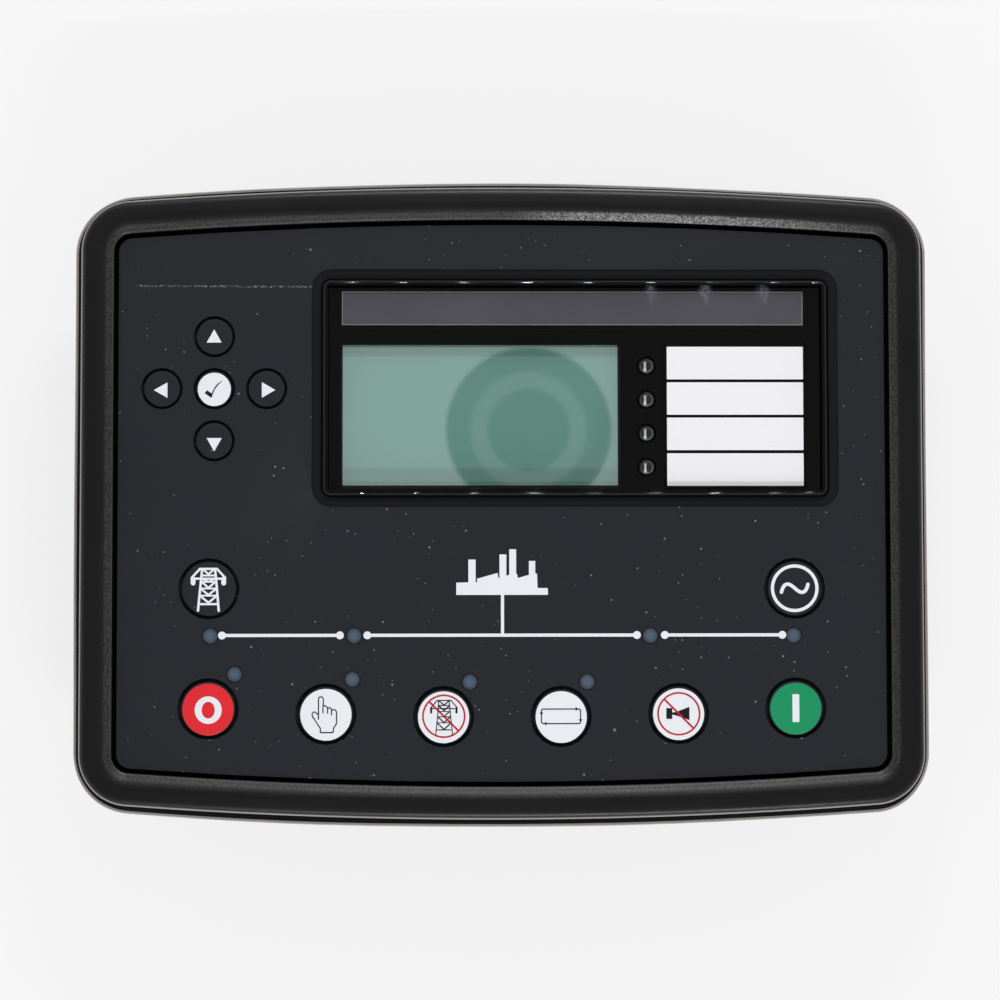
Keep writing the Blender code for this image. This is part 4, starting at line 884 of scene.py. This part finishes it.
# %% Horn off, and automatic
place = drawing(KEYS["key_mute"], (797, 745))
box = [(475, 605), (630, 605), (630, 885), (475, 885)]
cone = [(630, 718), (700, 710), (760, 692), (1078, 574), (1078, 916), (830, 828), (700, 786), (630, 772)]
key_print("key_mute", "horn", [slab(place(box), TOP_INK), slab(place(cone), TOP_INK)], INK_BLACK)
barred("key_mute", (802, 752), [(425, 375), (1190, 1135)], place)
place = drawing(KEYS["key_auto"], (784, 782))
corner = np.linspace(0, math.pi / 2, 7)
arc = 50 * np.stack([np.cos(corner), np.sin(corner)], axis=1)
middles = [((1238, 920), (1, 1)), ((320, 920), (-1, 1)), ((320, 642), (-1, -1)), ((1238, 642), (1, -1))]
loop = np.concatenate([(np.array(spot) + arc * sign)[::sign[0] * sign[1]] for spot, sign in middles])
arrows = [[(1160, 545), (1160, 640), (1238, 592)], [(1240, 858), (1336, 858), (1288, 936)],
          [(398, 922), (398, 1018), (318, 970)], [(222, 716), (318, 716), (270, 636)]]
key_print("key_auto", "loop", [stroke(place(loop), 0.34, TOP_INK, closed=True)]
          + [slab(place(arrow), TOP_INK) for arrow in arrows], INK_BLACK)

# %% [markdown]
# The white diagram on the face shows the load as a works with chimneys, and the lines that join
# it to the mains and to the generator through the lamps.

# %% The diagram on the face
WORKS = [(207, 712), (207, 552), (365, 548), (365, 250), (460, 250), (460, 548), (478, 548), (478, 500),
         (748, 425), (758, 490), (772, 490), (772, 183), (862, 183), (862, 460), (900, 450), (900, 115),
         (990, 115), (990, 432), (1004, 445), (1010, 492), (1157, 450), (1157, 268), (1240, 268), (1240, 427),
         (1264, 440), (1270, 622), (1405, 624), (1405, 712)]
place = drawing((-13.17, -26.68), (207, 712), 45.64)
shapes = [slab(place(WORKS), FACE_INK)]
shapes += [stroke([(0.06, -26.6), (0.06, -38.1)], 0.9, FACE_INK)]
LINE_LEVEL = -38.2
DOT_INK = (FACE_INK[0], 48.29)
for left, right in ((-80.1, -46.45), (-38.6, 38.55), (46.55, 80.25)):
    shapes += [stroke([(left, LINE_LEVEL), (right, LINE_LEVEL)], 0.92, FACE_INK)]
    shapes += [oval_ring((x, LINE_LEVEL), (1.12, 1.12), (0.02, 0.02), DOT_INK, 40)
               for x in (left, right)]
make_piece("diagram_print", shapes, INK_WHITE)
windows = [slab(bowed_outline(0, 2.98, 0.68, 0.12, 0, 3, 2, 2) + place((across, 586)), (48.2, 48.245))
           for across in (605, 865, 1127)]
make_piece("diagram_windows", windows, INK_BLACK)

# %% [markdown]
# The indicator lamps are flush windows of smoky blue plastic. They look a little paler in the
# middle, where the light guide under them is.

# %% Lamp windows
LAMPS = {name: middle(name) for name in nodes if name.startswith("lamp_")}

def lamp_window(name, centre):
    """Smoky blue, with a tone that follows the distance from the window's own centre."""
    kit = Finish(name + "_window")
    x, y, z = kit.place()
    u, v = x - centre[0], y - centre[1]
    away = (u * u + v * v).root()
    grain = kit.noise(0.5, 2.0)
    fade = away.smooth(0.6, 2.2) + 0.25 * (grain - 0.5)
    tone = kit.blend(fade, seen(76, 93, 110), seen(52, 64, 78))
    tone = kit.blend(away.smooth(1.92, 2.14), tone, FILM)
    return kit.done(Base_Color=tone, Roughness=0.42 + 0.1 * grain, Specular_IOR_Level=0.35)


for name, centre in LAMPS.items():
    profile = [(1.6, 41.6), (2.5, 41.7), (2.5, 45.4), (2.5, 45.7), (2.15, 45.7)]
    shape = turned(profile + quarter(2.3, FACE - 0.15, 0.15, 3).tolist() + [(1.5, FACE)], centre, 48)
    make_piece(name + "_guide", [shape], lamp_window(name, centre), stands_for=(name,))

# %% [markdown]
# The display lens is a raised, clear moulding with a black print round its border. Its edge is
# a quarter round that picks up the glints. The whole lens is one closed surface: the outer
# wall with its flange, and the pocket behind it. Its finish mixes two shaders by a mask. The
# border is black gloss. The window is clear: it lets light through and adds only a reflection of
# 0.4 facing^5 at glancing angles, which renders far cleaner than refracting glass. Layer Weight
# is used for it because Fresnel would turn to a full mirror where light leaves the lens.

# %% Finish: clear window in a black border
LENS_CENTRE = (21.05, 32.85)
LENS_SIZE = (145.6, 62.7)
HAZE_PLACES = (42.8, 58.6, 75.2)


def clear_lens():
    """Black gloss round a clear window, with marks of haze near its upper edge."""
    kit = Finish("clear_lens")
    x, y, z = kit.place()
    inside = ((x - LENS_CENTRE[0]).size() < 70.9) * ((y - LENS_CENTRE[1]).size() < 29.45)
    smear = kit.noise(5.0, 3.0, 0.7)
    black = kit.body(Base_Color=seen(7, 7, 8), Roughness=0.02 + 0.02 * smear, Specular_IOR_Level=0.22)
    glossy = kit.node("ShaderNodeBsdfGlossy", {}, {"Color": (1, 1, 1), "Roughness": 0.02})
    through = kit.node("ShaderNodeBsdfTransparent", {}, {"Color": (1, 1, 1)})
    facing = kit.facing()
    clear = kit.mix(0.4 * facing.maths("POWER", facing, 5.0), through, glossy)
    haze = 0.0
    for across in HAZE_PLACES:
        near = ((x - across + 0.12 * (y - 60.0)) / 3.0).size() + ((y - 60.6) / 6.5).size()
        haze = (1 - near.smooth(0.0, 1.0)) + haze
    veil = kit.node("ShaderNodeBsdfDiffuse", {}, {"Color": seen(206, 214, 240)})
    wiped = kit.noise(1.1, 4.0, 0.8).smooth(0.35, 0.75)
    clear = kit.mix((z > 49.8) * haze * wiped * 0.26, clear, veil)
    return kit.show(kit.mix(inside, black, clear))

def lens_shape():
    """From the pocket's roof at 48.0 down to the flange, then up the outside to the flat top.

    Each ring is the lens outline moved in by an inset, and its corners stay concentric. The
    top edge is a quarter round of 1.6 mm.
    """
    section = [(1.5, 48.0), (1.2, 47.7), (1.2, 44.3), (-2.0, 44.3), (-2.0, 45.7), (0.0, 45.7), (0.0, 47.6)]
    section += [(-grow, level) for grow, level in quarter(0.0, 48.4, 1.6, 10)] + [(2.3, 50.0)]
    rings = [(bowed_outline(inset, *LENS_SIZE, max(2.6, 0.3 + inset), 0, 12, 12, 12) + LENS_CENTRE, level)
             for inset, level in section]
    return stacked(rings, first_cap=True, last_cap=True)

make_piece("lens_moulding", [lens_shape()], clear_lens(), stands_for=("display_lens",))

# %% [markdown]
# Behind the lens lie a grey strip card, a card with four white fields, the green display glass
# and four clear lamp domes, all framed by a black carrier. The strip is bare grey film with a
# thin pale edge.

# %% Cards and carrier
def boxed(x, y, centre, half):
    """How far a point lies outside a box: the larger of |x - cx| - a and |y - cy| - b."""
    return ((x - centre[0]).size() - half[0]).larger((y - centre[1]).size() - half[1])

def strip_finish():
    """Grey film inside a pale edge 0.14 mm wide, and black round it."""
    kit = Finish("strip_film")
    x, y, z = kit.place()
    outside = boxed(x, y, (20.38, 55.89), (66.38, 4.82))
    base = kit.blend(kit.noise(18.0, 3.0), seen(75, 74, 80), seen(87, 86, 93))
    base = kit.blend((outside > -0.14) * (outside < 0.0), base, seen(158, 158, 160))
    return kit.done(Base_Color=kit.blend(outside > 0.0, base, seen(6, 6, 7)),
                    Roughness=0.08 + 0.04 * kit.noise(0.3, 2.0), Specular_IOR_Level=0.25)

def card_shape(centre, size, bottom, top, corner=0.4):
    """A thin card: four rings of one rounded outline, closed by its two faces."""
    outline = bowed_outline(0, *size, corner, 0, 6, 2, 2) + centre
    inner = bowed_outline(0.06, *size, corner, 0, 6, 2, 2) + centre
    return stacked([(inner, bottom), (outline, bottom + 0.06), (outline, top - 0.06), (inner, top)],
                   first_cap=True, last_cap=True)

ALARM_FIELDS = ((44.79, 35.36), (34.50, 25.14), (24.30, 14.92), (14.00, 4.63))
CARD_LEVELS = (47.4, 47.7)

def field_finish():
    """White inside the four fields and black round them. Each field is a rounded box."""
    kit = Finish("alarm_fields")
    x, y, z = kit.place()
    mask = 0.0
    for top, bottom in ALARM_FIELDS:
        across = ((x - 67.15).size() - 19.45).larger(0.0)
        along = ((y - (top + bottom) / 2).size() - ((top - bottom) / 2 - 0.2)).larger(0.0)
        mask = (1 - (across * across + along * along).root().smooth(0.16, 0.24)) + mask
    grain = kit.noise(0.6, 3.0)
    paper = kit.blend(grain, seen(241, 241, 244), seen(245, 245, 248))
    return kit.done(Base_Color=kit.blend(mask.smaller(1.0), seen(5, 5, 6), paper),
                    Roughness=0.5 + 0.1 * grain, Specular_IOR_Level=0.1)

make_piece("strip_film", [card_shape((20.5, 55.65), (135.0, 11.8), *CARD_LEVELS)], strip_finish(),
           stands_for=("strip_card",))
make_piece("alarm_fields", [card_shape((67.2, 24.7), (41.0, 42.2), *CARD_LEVELS)], field_finish(),
           stands_for=("alarm_card",))
carrier_black = moulded_black("carrier_black", seen(5, 5, 6), grain=3.0, depth=0.0, gloss=0.0, shine=0.25)
rounded_copy("carrier_frame", "display_carrier", carrier_black, 0.15)

# %% [markdown]
# The display is a reflective liquid crystal glass with nothing shown on it. Light passes its
# green film twice and comes back partly as from a dull mirror, so the finish is a green body
# under a soft reflection. A black print frames the part that shows.

# %% The display glass
def display_green():
    """Green with faint clouds and a painted shadow along the lower edge, where the carrier shades the glass;
    black outside the part that shows.
    """
    kit = Finish("display_green")
    x, y, z = kit.place()
    body = kit.blend(kit.noise(30.0, 3.0), seen(134, 198, 180), seen(138, 202, 185))
    outside = boxed(x, y, (-6.21, 25.14), (39.72, 20.15)) > 0.0
    # Painted shadow: a darker band on the lower 1.1 mm of the window, where the carrier's edge shades the
    # glass.
    tone = kit.blend((y < 6.1) * 0.3, body, seen(60, 84, 76))
    tone = kit.blend(0.6 * dust_specks(kit, 5.0, 0.16, 0.2), tone, seen(190, 205, 198))
    tone = kit.blend(outside, tone, seen(4, 4, 5))
    rough = 0.5 + 0.05 * kit.noise(0.4, 2.0)
    under = kit.body(Base_Color=tone, Roughness=rough, Specular_IOR_Level=0.2)
    mirror = kit.node("ShaderNodeBsdfGlossy", {}, {"Color": (0.80, 0.92, 0.90), "Roughness": 0.015})
    share = (0.12 + 0.47 * (1 - kit.facing().smooth(0.02, 0.2))) * (1 - 0.97 * outside)
    return kit.show(kit.mix(share, under, mirror))

make_piece("display_glass", [card_shape((-6.15, 24.7), (84.0, 45.4), 41.8, 44.0, 0.6)], display_green(),
           stands_for=("lcd_glass",))

# %% Alarm lamp domes
LED_PITCH = 9.75
DOME_RADIUS = 2.07
COLLAR_LEVEL = 46.7

def clear_dome():
    """A dark clear dome: a pale post left of the middle, and a painted highlight, a faint pale rim at the
    lower right.

    The four domes share it, so y is wrapped to one pitch of them. The post's half width is
    0.18 + 0.22 ((v + 0.15) / 1.5)^2 mm, which makes its head and foot wider than its waist.
    """
    kit = Finish("clear_dome")
    x, y, z = kit.place()
    first_x, first_y = middle("alarm_led_1")
    u = x - first_x
    v = y.maths("WRAP", y - first_y, LED_PITCH / 2, -LED_PITCH / 2)
    waist = (v + 0.15) / 1.5
    cloud = kit.noise(0.5, 2.0)
    post = 1 - ((u + 0.4).size() - (0.18 + 0.22 * waist * waist)).smooth(-0.24, 0.3)
    post = post * v.smooth(-1.9, -1.2) * (1 - v.smooth(0.7, 1.3))
    away = (u * u + v * v).root()
    # Painted highlight: the rim grows paler towards the lower right, standing in for light caught by the
    # dome.
    rim = away.smooth(1.35, 1.95) * (0.45 + 0.2 * (u - v))
    glass = kit.blend(rim.larger(0.0).smaller(1.0), seen(40, 41, 42), seen(104, 116, 112))
    tone = kit.blend(post * (0.5 + 0.5 * cloud - 0.12 * v), glass, seen(240, 240, 242))
    tone = kit.blend(away.smooth(2.0, 2.07), tone, seen(5, 5, 6))
    return kit.done(Base_Color=tone, Roughness=0.10 + 0.06 * cloud, Specular_IOR_Level=0.25)

dome_finish = clear_dome()
turn = np.linspace(0, math.pi / 2, 14)[:-1]
dome = np.column_stack([DOME_RADIUS * np.cos(turn), COLLAR_LEVEL + np.sin(turn)]).tolist()
for number in range(1, 5):
    led = f"alarm_led_{number}"
    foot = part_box(led)[0].z / MM
    collar = [(2.5, foot), (2.5, COLLAR_LEVEL - 0.04), (2.46, COLLAR_LEVEL), (2.12, COLLAR_LEVEL)]
    make_piece(f"alarm_dome_{number}", [turned(collar + dome, middle(led), 40)], dome_finish,
               stands_for=(led,))

# %% [markdown]
# The back is the same black plastic as the frame with a coarser grain. Its six green terminal
# headers hold rows of tinned pins, and the socket and screws are zinc-plated steel. Round copies
# of the CAD nodes carry these, because their shapes are right and only want soft edges.

# %% Finishes of the back
def soft_finish(name, first, second, grain, rough, fine=0.4):
    """Two close tones in slow clouds, with a fine grain in the gloss."""
    kit = Finish(name)
    tone = kit.blend(kit.noise(grain, 3.0), first, second)
    speck = kit.noise(fine, 2.0)
    return kit.done(Base_Color=tone, Roughness=rough + 0.12 * speck, Normal=kit.bump(speck, 0.01))

def plated_steel(name, colour, rough=0.3):
    """Zinc plate: metal whose gloss and tone vary in small crystals."""
    kit = Finish(name)
    crystal = kit.noise(0.8, 4.0, 0.7)
    tone = kit.blend(kit.noise(6.0, 2.0), colour, tuple(0.85 * c for c in colour))
    return kit.done(Base_Color=tone, Metallic=1.0, Roughness=rough + 0.18 * crystal,
                    Normal=kit.bump(crystal, 0.004))

header_green = soft_finish("header_green", seen(44, 118, 70), seen(58, 136, 84), 8.0, 0.38, fine=0.35)
zinc = plated_steel("zinc_plate", (0.62, 0.63, 0.65))
tin = plated_steel("tinned_pin", (0.72, 0.71, 0.68), 0.22)
print(header_green.name, zinc.name, tin.name)

# %% Case, headers and socket
rounded_copy("rear_case_shell", "rear_case", case_black, 0.3)
WAY_PITCH = 5.08


def pin_shape(x, y, foot=15.3, tip=8.1):
    """A square pin with a blunt four-sided point, one step proud of the CAD's own pin."""
    section = np.array([(foot, 0.52), (tip + 1.0, 0.52), (tip, 0.28)])
    corners = np.array([(1, 1), (-1, 1), (-1, -1), (1, -1)])
    points = np.stack([x + section[:, 1:] * corners[:, 0], y + section[:, 1:] * corners[:, 1],
                       np.broadcast_to(section[:, :1], (3, 4))], axis=-1)
    return grid_shape(points, first_cap=True, last_cap=True)


for letter in "abcdef":
    header = f"terminal_header_{letter}"
    low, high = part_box(header)
    ways = int((high.x - low.x) / MM / WAY_PITCH)
    x, y = middle(header)
    rounded_copy(f"header_{letter}", header, header_green, 0.15)
    pins = [pin_shape(x + WAY_PITCH * (index - (ways - 1) / 2), y + 1.9) for index in range(ways)]
    make_piece(f"pins_{letter}", pins, tin)
rounded_copy("usb_shell", "usb_socket", zinc, 0.12)

# %% [markdown]
# What is left are parts that only show through a vent or when the case is open: the boards, the
# key mat, the backlight, the spacers and the screws. Their CAD shapes stay, with finishes of
# their own.

# %% Finishes of the inner parts
def board_green():
    """Solder mask: green gloss with fine raised tracks along x and y."""
    kit = Finish("solder_mask")
    ripple = kit.node("ShaderNodeTexBrick", {"offset": 0.5, "squash": 1.0},
                      {"Vector": kit.spot(), "Scale": 420.0, "Mortar Size": 0.06, "Color1": (0, 0, 0),
                       "Color2": (0, 0, 0), "Mortar": (1, 1, 1)}, output="Fac")
    cloud = kit.noise(12.0, 2.0)
    tone = kit.blend(cloud, seen(18, 74, 44), seen(24, 88, 54))
    return kit.done(Base_Color=kit.blend(ripple, tone, seen(34, 110, 68)),
                    Roughness=0.28 + 0.1 * cloud, Normal=kit.bump(ripple, 0.03))

INNER = {
    "key_mat": soft_finish("key_mat_silicone", seen(92, 92, 95), seen(108, 108, 110), 7.0, 0.62),
    "display_board": board_green(), "main_board": None,
    "lcd_backlight": soft_finish("backlight_white", seen(226, 228, 232), seen(238, 239, 242), 12.0, 0.4),
    "board_link": soft_finish("link_black", seen(20, 20, 22), seen(30, 30, 32), 4.0, 0.45),
}
INNER["main_board"] = INNER["display_board"]
for number in range(1, 7):
    INNER[f"case_screw_{number}"] = zinc
for number in range(1, 5):
    INNER[f"board_screw_{number}"] = INNER[f"board_spacer_{number}"] = zinc
for name, finish in INNER.items():
    nodes[name].data.materials.clear()
    nodes[name].data.materials.append(finish)
print("inner parts finished:", len(INNER))
